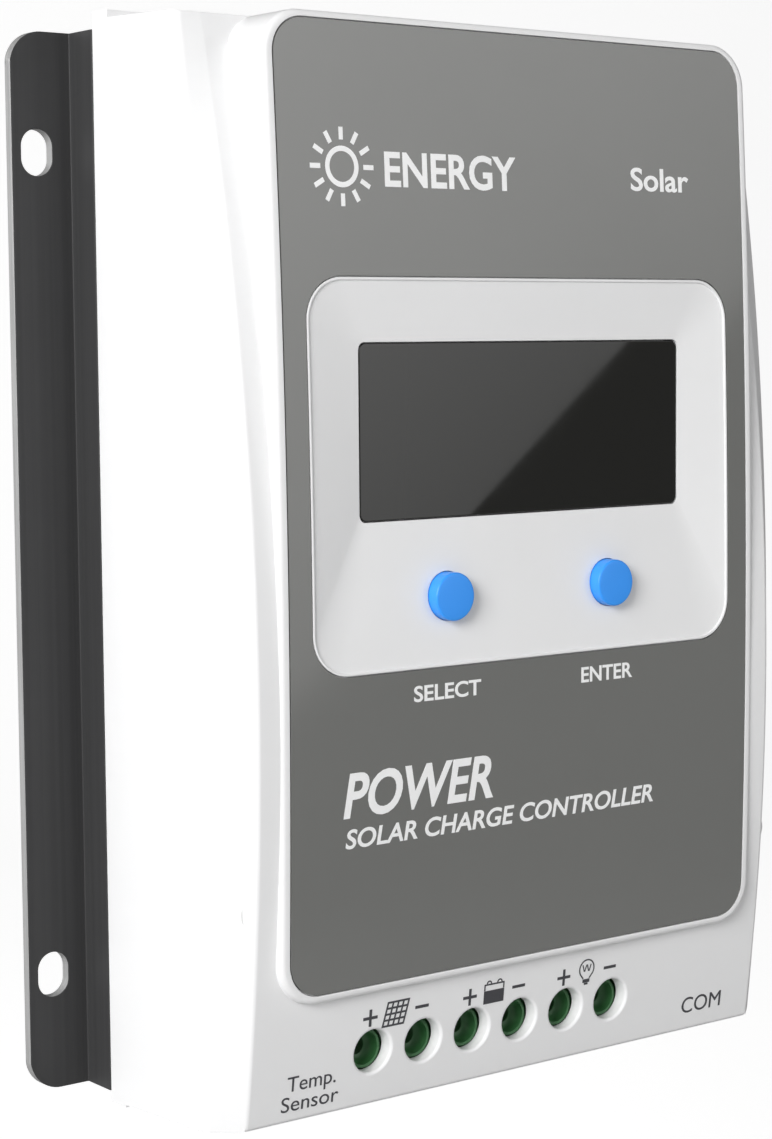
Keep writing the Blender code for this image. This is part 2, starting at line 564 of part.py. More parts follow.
def sockets():
    """The two-pin temperature sensor socket and the eight-way data socket, both open downwards."""
    rear = BOARD_FRONT + GAP
    half = SENSOR_W / 2
    shell = box((SENSOR_X - half, SENSOR_X + half), (rear, rear + SENSOR_H), (SOCKET_Z, SENSOR_TOP_Z))
    sensor = make("temp_sensor_socket", shell, "terminal_green")
    mouth = half - SENSOR_SIDE
    hollow = (rear + SENSOR_WALL, rear + SENSOR_H - SENSOR_WALL)
    cut(sensor, box((SENSOR_X - mouth, SENSOR_X + mouth), hollow, (SOCKET_Z - 1, SENSOR_FLOOR_Z)))
    middle, pin = rear + SENSOR_H / 2, SENSOR_PIN_HALF
    length = (SENSOR_PIN_Z, SENSOR_FLOOR_Z + 0.5)
    for x in (SENSOR_X - SENSOR_PITCH / 2, SENSOR_X + SENSOR_PITCH / 2):
        join(sensor, box((x - pin, x + pin), (middle - pin, middle + pin), length))

    half = COM_W / 2
    shell = box((COM_X - half, COM_X + half), (rear, rear + COM_H), (SOCKET_Z, COM_TOP_Z))
    com = make("com_socket", shell, "black_plastic")
    for wide, low, high in (COM_MOUTH, COM_LATCH):
        cut(com, box((COM_X - wide, COM_X + wide), (rear + low, rear + high), (SOCKET_Z - 1, COM_FLOOR_Z)))


def inductor():
    """A wound ring lying on the board, as the solid of its outer shape."""
    bm = bmesh.new()
    centre = Vector((INDUCTOR_X, -(BOARD_FRONT + GAP + INDUCTOR_WIRE_R), INDUCTOR_Z))
    loop = []
    for i in range(INDUCTOR_SIDES):
        angle = 2 * math.pi * i / INDUCTOR_SIDES
        out = INDUCTOR_RING_R + INDUCTOR_WIRE_R * math.cos(angle)
        loop.append(bm.verts.new(centre + Vector((out, INDUCTOR_WIRE_R * math.sin(angle), 0))))
    edges = [bm.edges.new(pair) for pair in zip(loop, loop[1:] + loop[:1])]
    bmesh.ops.spin(
        bm, geom=loop + edges, cent=centre, axis=(0, 1, 0), angle=2 * math.pi, steps=28, use_merge=True
    )
    bmesh.ops.remove_doubles(bm, verts=bm.verts, dist=0.001)
    make("power_inductor", bm, "ferrite", smooth=True)


def capacitor(name, x):
    """An upright can with the rolled groove near its foot."""
    rear = BOARD_FRONT + GAP
    edge, side = CAN_R - 0.4, CAN_R
    profile = [(edge, 0), (side, 0.6), (side, 2.2), (edge, 2.8), (side, 3.4)]
    profile += [(side, CAN_H - 0.6), (edge, CAN_H)]
    can = [(radius, rear + height) for radius, height in profile]
    make(name, turned(x, CAN_Z, can), "can", smooth=True)


def transistor(name, x):
    """A flat power package clamped on the thermal pad, with three bent legs to the board."""
    rear = PLATE_FRONT + 2 * GAP + PAD_T
    tab = {"x": (x - 5, x + 5), "z": TAB_Z}
    obj = make(name, prism(tab, (rear, rear + TAB_T)), "black_plastic")
    join(obj, box((x - 4.9, x + 4.9), (rear + 0.2, rear + BODY_T), (TAB_Z[0] + 0.2, TAB_Z[0] + 9.2)))
    cut(obj, cylinder(x, TAB_Z[1] - 3.2, TAB_HOLE_R, (rear - 1, rear + TAB_T + 1)))
    for leg in (x - LEG_PITCH, x, x + LEG_PITCH):
        sides = (leg - LEG_HALF_W, leg + LEG_HALF_W)
        join(obj, box(sides, (rear + 2.0, rear + 2.8), (TAB_Z[0] - LEG_REACH, TAB_Z[0] + 1)))
        foot = (TAB_Z[0] - LEG_REACH - 0.4, TAB_Z[0] - LEG_REACH + 0.4)
        join(obj, box(sides, (rear + 2.1, BOARD_REAR - GAP), foot))


def power_parts():
    """Inductor and capacitors in front of the board, power transistors behind it."""
    inductor()
    for name, x in CANS.items():
        capacitor(name, x)
    pad = box(PAD_X, (PLATE_FRONT + GAP, PLATE_FRONT + GAP + PAD_T), PAD_Z)
    make("thermal_pad", pad, "pad")
    for name, x in TRANSISTORS.items():
        transistor(name, x)


def build():
    clear_scene()
    heat_sink()
    cover()
    front_label()
    display()
    button("select", -BUTTON_X)
    button("enter", BUTTON_X)
    main_board()
    for name, centre in BLOCKS.items():
        terminal_block(name, centre)
    for name, x in pole_positions():
        pole(name, x)
    sockets()
    power_parts()


build()
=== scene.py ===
# Charge controller: the finished look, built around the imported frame.
# Pieces are modelled in millimetres and turned to metres once, in finishPiece.
# "depth" is the distance forward of the wall, so y = -depth.
import json
import math

import bmesh
import bpy
from mathutils import Matrix, Vector


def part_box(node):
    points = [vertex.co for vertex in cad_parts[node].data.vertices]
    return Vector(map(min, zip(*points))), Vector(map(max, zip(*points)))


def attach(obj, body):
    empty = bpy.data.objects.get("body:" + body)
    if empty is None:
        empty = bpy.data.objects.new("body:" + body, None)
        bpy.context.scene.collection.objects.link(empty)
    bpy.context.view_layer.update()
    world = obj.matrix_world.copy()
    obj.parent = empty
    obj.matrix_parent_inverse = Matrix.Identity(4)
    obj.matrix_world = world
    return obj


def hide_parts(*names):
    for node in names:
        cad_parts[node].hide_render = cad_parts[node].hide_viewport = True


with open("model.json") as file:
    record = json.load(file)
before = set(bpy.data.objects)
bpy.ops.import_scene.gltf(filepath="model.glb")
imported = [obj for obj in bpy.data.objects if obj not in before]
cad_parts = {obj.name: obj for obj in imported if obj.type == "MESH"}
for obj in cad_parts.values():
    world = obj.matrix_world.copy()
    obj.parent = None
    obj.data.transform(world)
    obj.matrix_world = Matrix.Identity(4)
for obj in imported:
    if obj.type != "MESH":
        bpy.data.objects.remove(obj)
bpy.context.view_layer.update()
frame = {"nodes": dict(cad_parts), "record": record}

mm = 0.001
nodes = frame["nodes"]
fixedBody = "housing"
poles = ["pv_plus", "pv_minus", "battery_plus", "battery_minus", "load_plus", "load_minus"]
print("frame loaded:", len(nodes), "nodes")


# ---- measures from the frame, in millimetres

def span(node):
    # lowest and highest (x, depth, z) of a node
    low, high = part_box(node)
    return (low.x / mm, -high.y / mm, low.z / mm), (high.x / mm, -low.y / mm, high.z / mm)


def middle(node):
    low, high = span(node)
    return [(a + b) / 2 for a, b in zip(low, high)]


# ---- modelling helpers

def roundedOutline(points, radii, steps=5):
    # a closed outline with each corner turned into an arc
    outline = []
    for i, radius in enumerate(radii):
        corner = Vector(points[i])
        if radius == 0:
            outline.append(tuple(corner))
            continue
        back = (Vector(points[i - 1]) - corner).normalized()
        ahead = (Vector(points[(i + 1) % len(points)]) - corner).normalized()
        half = math.acos(max(-1.0, min(1.0, back.dot(ahead)))) / 2
        centre = corner + (back + ahead).normalized() * radius / math.sin(half)
        start = corner + back * radius / math.tan(half) - centre
        end = corner + ahead * radius / math.tan(half) - centre
        turn = math.copysign(math.pi - 2 * half, start.x * end.y - start.y * end.x)
        for k in range(steps + 1):
            arm = start.copy()
            arm.rotate(Matrix.Rotation(turn * k / steps, 2))
            outline.append(tuple(centre + arm))
    return outline


def roundedRectangle(x, z, radius, steps=8, sidePoints=0):
    # (x, z) points, with extra points along the upright sides where asked for
    corners = [(x[0], z[0]), (x[1], z[0]), (x[1], z[1]), (x[0], z[1])]
    points = roundedOutline(corners, [radius] * 4, steps)
    full = []
    for here, after in zip(points, points[1:] + points[:1]):
        full.append(here)
        if sidePoints and abs(after[1] - here[1]) > (z[1] - z[0]) / 2:
            for k in range(1, sidePoints + 1):
                share = k / (sidePoints + 1)
                full.append(tuple(a + (b - a) * share for a, b in zip(here, after)))
    return full


def loft(rings):
    # rings of (x, depth, z), bridged in order, with both ends closed
    bm = bmesh.new()
    loops = []
    for ring in rings:
        verts = [bm.verts.new((x, -depth, z)) for x, depth, z in ring]
        loops.append([bm.edges.new(pair) for pair in zip(verts, verts[1:] + verts[:1])])
    for low, high in zip(loops, loops[1:]):
        bmesh.ops.bridge_loops(bm, edges=low + high)
    bmesh.ops.contextual_create(bm, geom=loops[0])
    bmesh.ops.contextual_create(bm, geom=loops[-1])
    return bm


def prism(outline, low, high):
    # an (x, z) outline drawn forward from one depth to another
    return loft([[(x, depth, z) for x, z in outline] for depth in (low, high)])


def block(x, depth, z):
    bm = bmesh.new()
    size = Vector((x[1] - x[0], depth[1] - depth[0], z[1] - z[0]))
    centre = Vector(((x[0] + x[1]) / 2, -(depth[0] + depth[1]) / 2, (z[0] + z[1]) / 2))
    bmesh.ops.create_cube(bm, size=1.0, matrix=Matrix.LocRotScale(centre, None, size))
    return bm


def turned(x, z, profile, sides=48):
    # (radius, depth) points spun about an axis along y
    bm = bmesh.new()
    points = [(0, profile[0][1])] + profile + [(0, profile[-1][1])]
    verts = [bm.verts.new((x + radius, -depth, z)) for radius, depth in points]
    edges = [bm.edges.new(pair) for pair in zip(verts, verts[1:])]
    bmesh.ops.spin(bm, geom=verts + edges, cent=(x, 0, z), axis=(0, 1, 0), angle=2 * math.pi,
                   steps=sides, use_merge=True)
    bmesh.ops.remove_doubles(bm, verts=bm.verts, dist=0.0005)
    return bm


def together(parts):
    # several closed shapes as one, for a single Boolean; they don't touch each other
    whole = bmesh.new()
    for part in parts:
        mesh = bpy.data.meshes.new("part")
        bmesh.ops.recalc_face_normals(part, faces=part.faces)
        part.to_mesh(mesh)
        part.free()
        whole.from_mesh(mesh)
        bpy.data.meshes.remove(mesh)
    return whole


def toObject(name, bm):
    bmesh.ops.recalc_face_normals(bm, faces=bm.faces)
    mesh = bpy.data.meshes.new(name)
    bm.to_mesh(mesh)
    bm.free()
    made = bpy.data.objects.new(name, mesh)
    bpy.context.scene.collection.objects.link(made)
    return made


def applyModifiers(piece):
    bpy.context.view_layer.update()
    graph = bpy.context.evaluated_depsgraph_get()
    mesh = bpy.data.meshes.new_from_object(piece.evaluated_get(graph))
    old = piece.data
    piece.modifiers.clear()
    piece.data = mesh
    bpy.data.meshes.remove(old)


def combine(piece, tool, operation="DIFFERENCE"):
    # one Boolean, applied at once, which uses up its tool
    helper = toObject("tool", tool)
    modifier = piece.modifiers.new("Boolean", "BOOLEAN")
    modifier.operation = operation
    modifier.solver = "EXACT"
    modifier.object = helper
    applyModifiers(piece)
    bpy.data.objects.remove(helper, do_unlink=True)


def softenEdges(piece, width, segments, chosen, sharperThan=30):
    # rounds the edges whose middle (x, depth, z) passes the test
    bm = bmesh.new()
    bm.from_mesh(piece.data)
    bmesh.ops.remove_doubles(bm, verts=bm.verts, dist=0.002)
    limit = math.radians(sharperThan)
    edges = []
    for edge in bm.edges:
        if edge.is_manifold and edge.calc_face_angle() > limit:
            point = (edge.verts[0].co + edge.verts[1].co) / 2
            if chosen(point.x, -point.y, point.z):
                edges.append(edge)
    bmesh.ops.bevel(bm, geom=edges, offset=width, segments=segments, affect="EDGES", profile=0.5,
                    material=-1, clamp_overlap=False)
    bm.to_mesh(piece.data)
    bm.free()
    return len(edges)


def shade(piece, smoothTo=40, weighted=True):
    piece.data.shade_smooth()
    piece.data.set_sharp_from_angle(angle=math.radians(smoothTo))
    if weighted:
        modifier = piece.modifiers.new("Weighted Normal", "WEIGHTED_NORMAL")
        modifier.keep_sharp = True


def finishPiece(piece, finishes, body, replaced=(), smoothTo=40, weighted=True):
    # to metres, shaded, painted, and riding on its body
    piece.data.transform(Matrix.Scale(mm, 4))
    piece.data.materials.clear()
    for finish in finishes:
        piece.data.materials.append(finish)
    shade(piece, smoothTo, weighted)
    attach(piece, body)
    if replaced:
        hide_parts(*replaced)
    return piece


# ---- shader groups shared by the finishes

def newGroup(name, inputs, outputs):
    group = bpy.data.node_groups.new(name, "ShaderNodeTree")
    group.interface.new_socket(name="Place", in_out="INPUT", socket_type="NodeSocketVector")
    for label, value in inputs.items():
        socket = group.interface.new_socket(name=label, in_out="INPUT", socket_type="NodeSocketFloat")
        socket.default_value = value
    for label in outputs:
        group.interface.new_socket(name=label, in_out="OUTPUT", socket_type="NodeSocketFloat")
    return group, group.nodes.new("NodeGroupInput").outputs, group.nodes.new("NodeGroupOutput").inputs


def setInputs(tree, inputs, values):
    # each value is a number or a colour, or another node's output to link from
    for label, value in values.items():
        if isinstance(value, bpy.types.NodeSocket):
            tree.links.new(value, inputs[label])
        else:
            inputs[label].default_value = value


def addNode(tree, kind, values, **settings):
    # a shader node; gives back its outputs
    node = tree.nodes.new("ShaderNode" + kind)
    for name, value in settings.items():
        setattr(node, name, value)
    setInputs(tree, node.inputs, values)
    return node.outputs


def makeMask(group, value, low, high, blend="LINEAR"):
    # 0 where the value is low, 1 where it is high
    values = {"Value": value, "From Min": low, "From Max": high}
    return addNode(group, "MapRange", values, interpolation_type=blend)["Result"]


def fineGrainGroup():
    # spark-eroded mould texture: small pits over a noise
    group, start, end = newGroup("fineGrain", {"Scale": 2500.0, "Detail": 2.0}, ["Height", "Mask"])
    place = {"Vector": start["Place"], "Scale": start["Scale"]}
    noise = addNode(group, "TexNoise", {**place, "Detail": start["Detail"]})["Fac"]
    pits = addNode(group, "TexVoronoi", place, feature="SMOOTH_F1")["Distance"]
    height = addNode(group, "Math", {0: pits, 1: 0.5, 2: noise}, operation="MULTIPLY_ADD")["Value"]
    setInputs(group, end, {"Height": height, "Mask": makeMask(group, noise, 0.35, 0.65)})
    return group


def handlingGroup():
    # broad soft patches where a surface is a little duller or cleaner
    group, start, end = newGroup("handling", {"Scale": 25.0}, ["Mask"])
    noise = addNode(group, "TexNoise", {"Vector": start["Place"], "Scale": start["Scale"],
                                        "Detail": 5.0, "Roughness": 0.6, "Distortion": 0.4})["Fac"]
    setInputs(group, end, {"Mask": makeMask(group, noise, 0.3, 0.7, "SMOOTHSTEP")})
    return group


def dieLineGroup():
    # long faint lines along z, as an extrusion or a turned bar shows
    group, start, end = newGroup("dieLines", {"Across": 900.0, "Along": 4.0}, ["Height", "Mask"])
    across, along = start["Across"], start["Along"]
    stretch = addNode(group, "CombineXYZ", {"X": across, "Y": across, "Z": along})["Vector"]
    place = addNode(group, "VectorMath", {0: start["Place"], 1: stretch}, operation="MULTIPLY")["Vector"]
    noise = addNode(group, "TexNoise", {"Vector": place, "Scale": 1.0, "Detail": 3.0})["Fac"]
    setInputs(group, end, {"Height": noise, "Mask": makeMask(group, noise, 0.4, 0.62)})
    return group


def copperTrackGroup():
    # tracks and vias under the solder mask of a circuit board
    group, start, end = newGroup("copperTracks", {"Scale": 300.0}, ["Height", "Mask"])
    parts = addNode(group, "SeparateXYZ", {"Vector": start["Place"]})
    flat = addNode(group, "CombineXYZ", {"X": parts["X"], "Y": parts["Z"]})["Vector"]
    cells = addNode(group, "TexBrick", {
        "Vector": flat, "Scale": start["Scale"], "Color1": (1, 1, 1, 1), "Color2": (0.85, 0.85, 0.85, 1),
        "Mortar": (0, 0, 0, 1), "Mortar Size": 0.06, "Brick Width": 2.6, "Row Height": 0.55})["Fac"]
    setInputs(group, end, {"Height": cells, "Mask": cells})
    return group


groups = {
    "fineGrain": fineGrainGroup(),
    "handling": handlingGroup(),
    "dieLines": dieLineGroup(),
    "copperTracks": copperTrackGroup(),
}
print("shader groups built:", len(groups))


# ---- finishes

def useGroup(tree, name, values):
    place = addNode(tree, "TexCoord", {})["Object"]
    return addNode(tree, "Group", {"Place": place, **values}, node_tree=groups[name])


def startFinish(name, look):
    # a Principled material with the values that are the same all over
    made = bpy.data.materials.new(name)
    made.use_nodes = True
    shader = made.node_tree.nodes["Principled BSDF"].inputs
    setInputs(made.node_tree, shader, {
        "Base Color": (*look["colour"], 1.0), "Roughness": look["roughness"],
        "Metallic": look.get("metallic", 0.0), "Specular IOR Level": look.get("specular", 0.5),
        "IOR": 1.5, "Coat Weight": look.get("coat", 0.0), "Coat Roughness": 0.1})
    made.diffuse_color = (*look["colour"], 1.0)
    return made, made.node_tree, shader


def varyRoughness(tree, shader, mask, look):
    rough, spread = look["roughness"], look.get("roughnessSpread", 0.06)
    values = {"Value": mask, "To Min": rough - spread, "To Max": rough + spread}
    setInputs(tree, shader, {"Roughness": addNode(tree, "MapRange", values)["Result"]})


def varyColour(tree, shader, mask, colour, other):
    values = {"Factor": mask, "A": (*colour, 1.0), "B": (*other, 1.0)}
    setInputs(tree, shader, {"Base Color": addNode(tree, "Mix", values, data_type="RGBA")["Result"]})


def addBump(tree, shader, height, strength, distance):
    values = {"Height": height, "Strength": strength, "Distance": distance}
    setInputs(tree, shader, {"Normal": addNode(tree, "Bump", values)["Normal"]})


def mouldedPlastic(name, look):
    made, tree, shader = startFinish(name, look)
    scale, strength, depth = look["grain"]
    grain = useGroup(tree, "fineGrain", {"Scale": scale})
    hands = useGroup(tree, "handling", {"Scale": 25.0})
    shadeOf = look.get("patchShade", 0.96)
    varyColour(tree, shader, hands["Mask"], look["colour"], [c * shadeOf for c in look["colour"]])
    varyRoughness(tree, shader, hands["Mask"], look)
    addBump(tree, shader, grain["Height"], strength, depth)
    return made


def linedMetal(name, look):
    made, tree, shader = startFinish(name, look)
    across, along, strength, depth = look["lines"]
    lines = useGroup(tree, "dieLines", {"Across": across, "Along": along})
    hands = useGroup(tree, "handling", {"Scale": 30.0})
    shadeOf = look.get("lineShade", 0.85)
    varyColour(tree, shader, lines["Mask"], look["colour"], [c * shadeOf for c in look["colour"]])
    varyRoughness(tree, shader, hands["Mask"], look)
    addBump(tree, shader, lines["Height"], strength, depth)
    return made


def circuitBoard(name, look):
    made, tree, shader = startFinish(name, look)
    tracks = useGroup(tree, "copperTracks", {"Scale": look["trackScale"]})
    varyColour(tree, shader, tracks["Mask"], look["colour"], look["copperColour"])
    addBump(tree, shader, tracks["Height"], 0.4, 0.00004)
    return made


def polished(name, look):
    # clear or tinted sheet: nearly flat, with the faintest dulling
    made, tree, shader = startFinish(name, look)
    hands = useGroup(tree, "handling", {"Scale": 60.0})
    varyRoughness(tree, shader, hands["Mask"], look)
    return made


# grain: its scale, strength and depth; lines: their scale across and along, strength and depth
looks = {
    "whiteCover": {"colour": (0.87, 0.87, 0.873), "roughness": 0.46, "roughnessSpread": 0.05,
                   "grain": (2200.0, 0.12, 0.00004), "patchShade": 0.985},
    "greyFilm": {"colour": (0.182, 0.184, 0.176), "roughness": 0.09, "roughnessSpread": 0.02,
                 "grain": (3500.0, 0.05, 0.00002), "patchShade": 0.97},
    "whitePrint": {"colour": (0.97, 0.97, 0.97), "roughness": 0.4, "grain": (3000.0, 0.05, 0.00001)},
    "greyPrint": {"colour": (0.055, 0.055, 0.062), "roughness": 0.5, "grain": (3000.0, 0.05, 0.00001)},
    "buttonBlue": {"colour": (0.035, 0.33, 1.0), "roughness": 0.4, "roughnessSpread": 0.04,
                   "grain": (2600.0, 0.06, 0.00003)},
    "terminalGreen": {"colour": (0.045, 0.16, 0.055), "roughness": 0.45, "roughnessSpread": 0.05,
                      "grain": (2400.0, 0.08, 0.00003), "patchShade": 0.85},
    "blackMoulding": {"colour": (0.018, 0.018, 0.019), "roughness": 0.42,
                      "grain": (2400.0, 0.1, 0.00004), "patchShade": 0.8},
    "thermalSheet": {"colour": (0.46, 0.48, 0.52), "roughness": 0.78, "grain": (1800.0, 0.3, 0.00006),
                     "patchShade": 0.9},
    "milkySheet": {"colour": (0.78, 0.80, 0.82), "roughness": 0.3, "grain": (2800.0, 0.04, 0.00002)},
    "canSleeve": {"colour": (0.035, 0.05, 0.16), "roughness": 0.28, "grain": (900.0, 0.05, 0.00005),
                  "patchShade": 0.85},
}
metalLooks = {
    "anodised": {"colour": (0.050, 0.050, 0.051), "roughness": 0.45, "roughnessSpread": 0.05,
                 "specular": 0.2, "lines": (1400.0, 6.0, 0.12, 0.00003), "lineShade": 0.9},
    # painted highlight for the heat sink's flange edges and slot walls: a lighter, partly metallic grey
    "paintedEdgeHighlight": {"colour": (0.42, 0.42, 0.42), "roughness": 0.45, "metallic": 0.3,
                "lines": (2200.0, 60.0, 0.25, 0.00004)},
    "nickel": {"colour": (0.62, 0.60, 0.56), "roughness": 0.27, "metallic": 1.0,
               "lines": (1800.0, 300.0, 0.1, 0.00003)},
    "tinPlate": {"colour": (0.70, 0.69, 0.66), "roughness": 0.33, "metallic": 1.0,
                 "lines": (900.0, 200.0, 0.1, 0.00003)},
    "goldPlate": {"colour": (0.85, 0.60, 0.22), "roughness": 0.22, "metallic": 1.0,
                  "lines": (2500.0, 300.0, 0.05, 0.00002)},
    "enamelWire": {"colour": (0.55, 0.20, 0.07), "roughness": 0.25, "metallic": 0.7,
                   "lines": (600.0, 600.0, 0.1, 0.00005), "lineShade": 0.7},
}
finishes = {name: mouldedPlastic(name, look) for name, look in looks.items()}
finishes.update({name: linedMetal(name, look) for name, look in metalLooks.items()})
finishes["solderMask"] = circuitBoard("solderMask", {
    "colour": (0.012, 0.10, 0.035), "roughness": 0.32, "coat": 0.3, "trackScale": 260.0,
    "copperColour": (0.03, 0.19, 0.07)})
finishes["smokedWindow"] = polished("smokedWindow", {
    "colour": (0.016, 0.016, 0.0145), "roughness": 0.03, "roughnessSpread": 0.008})
finishes["liquidCrystal"] = polished("liquidCrystal", {
    "colour": (0.16, 0.18, 0.15), "roughness": 0.12, "roughnessSpread": 0.03})
print("finishes made:", len(finishes))


# ---- cover: a bulging shell with a raised panel, a dished bezel and its openings

coverLow, coverHigh = span("cover")
labelLow, labelHigh = span("front_label")
windowLow, windowHigh = span("lcd_window")
cover = {
    "rear": coverLow[1],
    "rearHalf": coverHigh[0],
    "sideHalf": 58.0,
    "frontHalf": 53.2,
    "body": (coverLow[2] + 1.5, coverHigh[2] - 2.3),
    "draft": 0.0318,
    "draftFrom": 38.8,
    "endRound": 0.7,
    "lipDepth": 4.0,
    "lipDrop": 0.25,
    "lipSides": (0.04, 0.22),
    "wall": 2.2,
    "frontWall": 2.5,
    "cornerRadius": 1.8,
    "edgeRadius": 1.0,
    "stations": 49,
    "platformX": (-49.5, 49.5),
    "platformZ": (-65.2, 84.5),
    "platformRadius": 7.0,
    "platformEdge": 0.9,
    "platformRear": 25,
    "hollowRear": 22,
    "hollowRadius": 4.6,
    "gap": 0.2,
    "labelThick": 0.5,
    "labelRadius": 5.6,
    "bezelX": (-43.4, 43.4),
    "bezelZ": (-15.2, 45.1),
    "bezelRadius": 6.6,
    "bezelEdge": 0.45,
    "bezelStep": 0.25,
    "windowRadius": 1.2,
    "displayRear": 38.6,
    "displayFrame": ((-45, 45), (-17.5, 46.9)),
    "accessRadius": 3.5,
    "accessRound": 0.55,
    "wireWay": (18.6, 26.6),
    "buttonBore": 3.9,
    "boreRound": 0.1,
    "rimRound": 0.13,
}
# each arc gives the depth at a height: apex minus (z - middle) squared over 2 radius
frontArc = {"apex": 43.6, "middle": -21.0, "radius": 425.0}
cornerArc = {"apex": 38.8, "middle": -15.0, "radius": 582.0}
panelArc = {"apex": 44.0, "middle": -11.5, "radius": 1492.0}


def arcDepth(arc, z):
    return arc["apex"] - (z - arc["middle"]) ** 2 / (2 * arc["radius"])


def heights(low, high, count):
    return [low + (high - low) * i / (count - 1) for i in range(count)]


def acrossAll(profile):
    # a (depth, z) profile drawn right across the cover and past its sides
    return loft([[(x, depth, z) for depth, z in profile] for x in (-72, 72)])


def arcBlock(arc, rear, offset, count=97):
    # everything behind an arc, wider and taller than the cover
    levels = heights(-96, 96, count)
    profile = [(rear, levels[0])] + [(arcDepth(arc, z) + offset, z) for z in levels] + [(rear, levels[-1])]
    return acrossAll(profile)


def arcEnded(name, outline, rear, arc, offset=0.0):
    # an (x, z) outline drawn forward and ended on an arc
    piece = toObject(name, prism(outline, rear, 62))
    combine(piece, arcBlock(arc, rear - 3, offset), "INTERSECT")
    return piece


def takeMesh(piece):
    # the piece's mesh as a bmesh, and the piece itself is removed
    bm = bmesh.new()
    bm.from_mesh(piece.data)
    bpy.data.objects.remove(piece, do_unlink=True)
    return bm


def coverSection(z):
    half = [(cover["rearHalf"], cover["rear"]), (cover["sideHalf"], arcDepth(cornerArc, z)),
            (cover["frontHalf"], arcDepth(frontArc, z))]
    points = half + [(-x, depth) for x, depth in reversed(half)]
    radii = [0, cover["cornerRadius"], cover["edgeRadius"], cover["edgeRadius"], cover["cornerRadius"], 0]
    return [(x, depth, z) for x, depth in roundedOutline(points, radii)]


def cavitySection(z):
    inset = cover["wall"]
    half = [(cover["rearHalf"] - inset, cover["rear"] - 1),
            (cover["sideHalf"] - inset, arcDepth(cornerArc, z) - inset * 0.55),
            (cover["frontHalf"] - inset * 0.55, arcDepth(frontArc, z) - cover["frontWall"])]
    return [(x, depth, z) for x, depth in half + [(-x, depth) for x, depth in reversed(half)]]


def grow(x, z, by):
    return (x[0] - by, x[1] + by), (z[0] - by, z[1] + by)


def makeBody():
    low, high = cover["body"]
    step = (high - low) / (cover["stations"] - 1)
    levels = heights(low - step, high + step, cover["stations"] + 2)
    piece = toObject("cover_shell", loft([coverSection(z) for z in levels]))
    # the ends lean in towards the front
    for end, way in ((low, -1), (high, 1)):
        depths = (cover["rear"] - 2, 50)
        profile = [(depth, end + way * cover["draft"] * (cover["draftFrom"] - depth)) for depth in depths]
        combine(piece, acrossAll(profile + [(depth, end + way * 8) for depth in reversed(depths)]))
    softenEdges(piece, cover["endRound"], 3, lambda x, depth, z: abs(z) > high - 0.4 and depth > 33)
    return piece


def makeShell():
    low, high = cover["body"]
    piece = makeBody()
    outline = roundedRectangle(cover["platformX"], cover["platformZ"], cover["platformRadius"], 12)
    platform = arcEnded("platform", outline, cover["platformRear"], panelArc)
    softenEdges(platform, cover["platformEdge"], 4, lambda x, depth, z: depth > 38)
    combine(piece, takeMesh(platform), "UNION")
    # a low lip along the rear of each end, flush with the sides
    rear, front = cover["rear"] + 0.02, cover["rear"] + cover["lipDepth"]
    rearHalf, frontHalf = [cover["rearHalf"] - inset for inset in cover["lipSides"]]
    ends = ((coverLow[2] + cover["lipDrop"], low + 1), (coverHigh[2] - cover["lipDrop"], high - 1))
    for outer, inner in ends:
        rings = []
        for side in (-1, 1):
            rings.append([(side * rearHalf, rear, inner), (side * frontHalf, front, inner),
                          (side * frontHalf, front, outer), (side * rearHalf, rear, outer)])
        combine(piece, loft(rings), "UNION")
    inset = cover["wall"]
    combine(piece, loft([cavitySection(z) for z in heights(low + inset, high - inset, cover["stations"])]))
    hollowX, hollowZ = grow(cover["platformX"], cover["platformZ"], 0.1 - cover["frontWall"])
    outline = roundedRectangle(hollowX, hollowZ, cover["hollowRadius"], 8)
    hollow = arcEnded("hollow", outline, cover["hollowRear"], panelArc, -cover["frontWall"])
    combine(piece, takeMesh(hollow))
    return piece


def cutFront(piece):
    frameX, frameZ = cover["displayFrame"]
    combine(piece, block(frameX, (cover["displayRear"], 42), frameZ), "UNION")
    # the label's recess leaves the bezel standing as an island
    labelX, labelZ = grow((labelLow[0], labelHigh[0]), (labelLow[2], labelHigh[2]), cover["gap"])
    recess = toObject("recess", prism(roundedRectangle(labelX, labelZ, cover["labelRadius"], 12), 35, 52))
    bezel = roundedRectangle(cover["bezelX"], cover["bezelZ"], cover["bezelRadius"], 12)
    combine(recess, prism(bezel, 30, 60))
    combine(recess, arcBlock(panelArc, 30, -cover["labelThick"] - cover["gap"]))
    combine(piece, takeMesh(recess))
    # the dish runs from just inside the bezel's edge down to the window
    edgeX, edgeZ = grow(cover["bezelX"], cover["bezelZ"], -cover["bezelEdge"])
    mouthX, mouthZ = grow((windowLow[0], windowHigh[0]), (windowLow[2], windowHigh[2]), cover["gap"])
    edge = roundedRectangle(edgeX, edgeZ, cover["bezelRadius"] - cover["bezelEdge"], 12, 8)
    mouth = roundedRectangle(mouthX, mouthZ, cover["windowRadius"], 12, 8)
    front = windowHigh[1] + 0.05
    rings = [[(x, 48, z) for x, z in edge],
             [(x, arcDepth(panelArc, z) - cover["bezelStep"], z) for x, z in edge],
             [(x, front, z) for x, z in mouth]]
    combine(piece, loft(rings))
    combine(piece, prism(mouth, windowLow[1] - 0.35, front + 1.5))
    sightX, sightZ = grow(mouthX, mouthZ, -2.2)
    combine(piece, prism(roundedRectangle(sightX, sightZ, 1.0, 8), cover["displayRear"] - 2, 43))


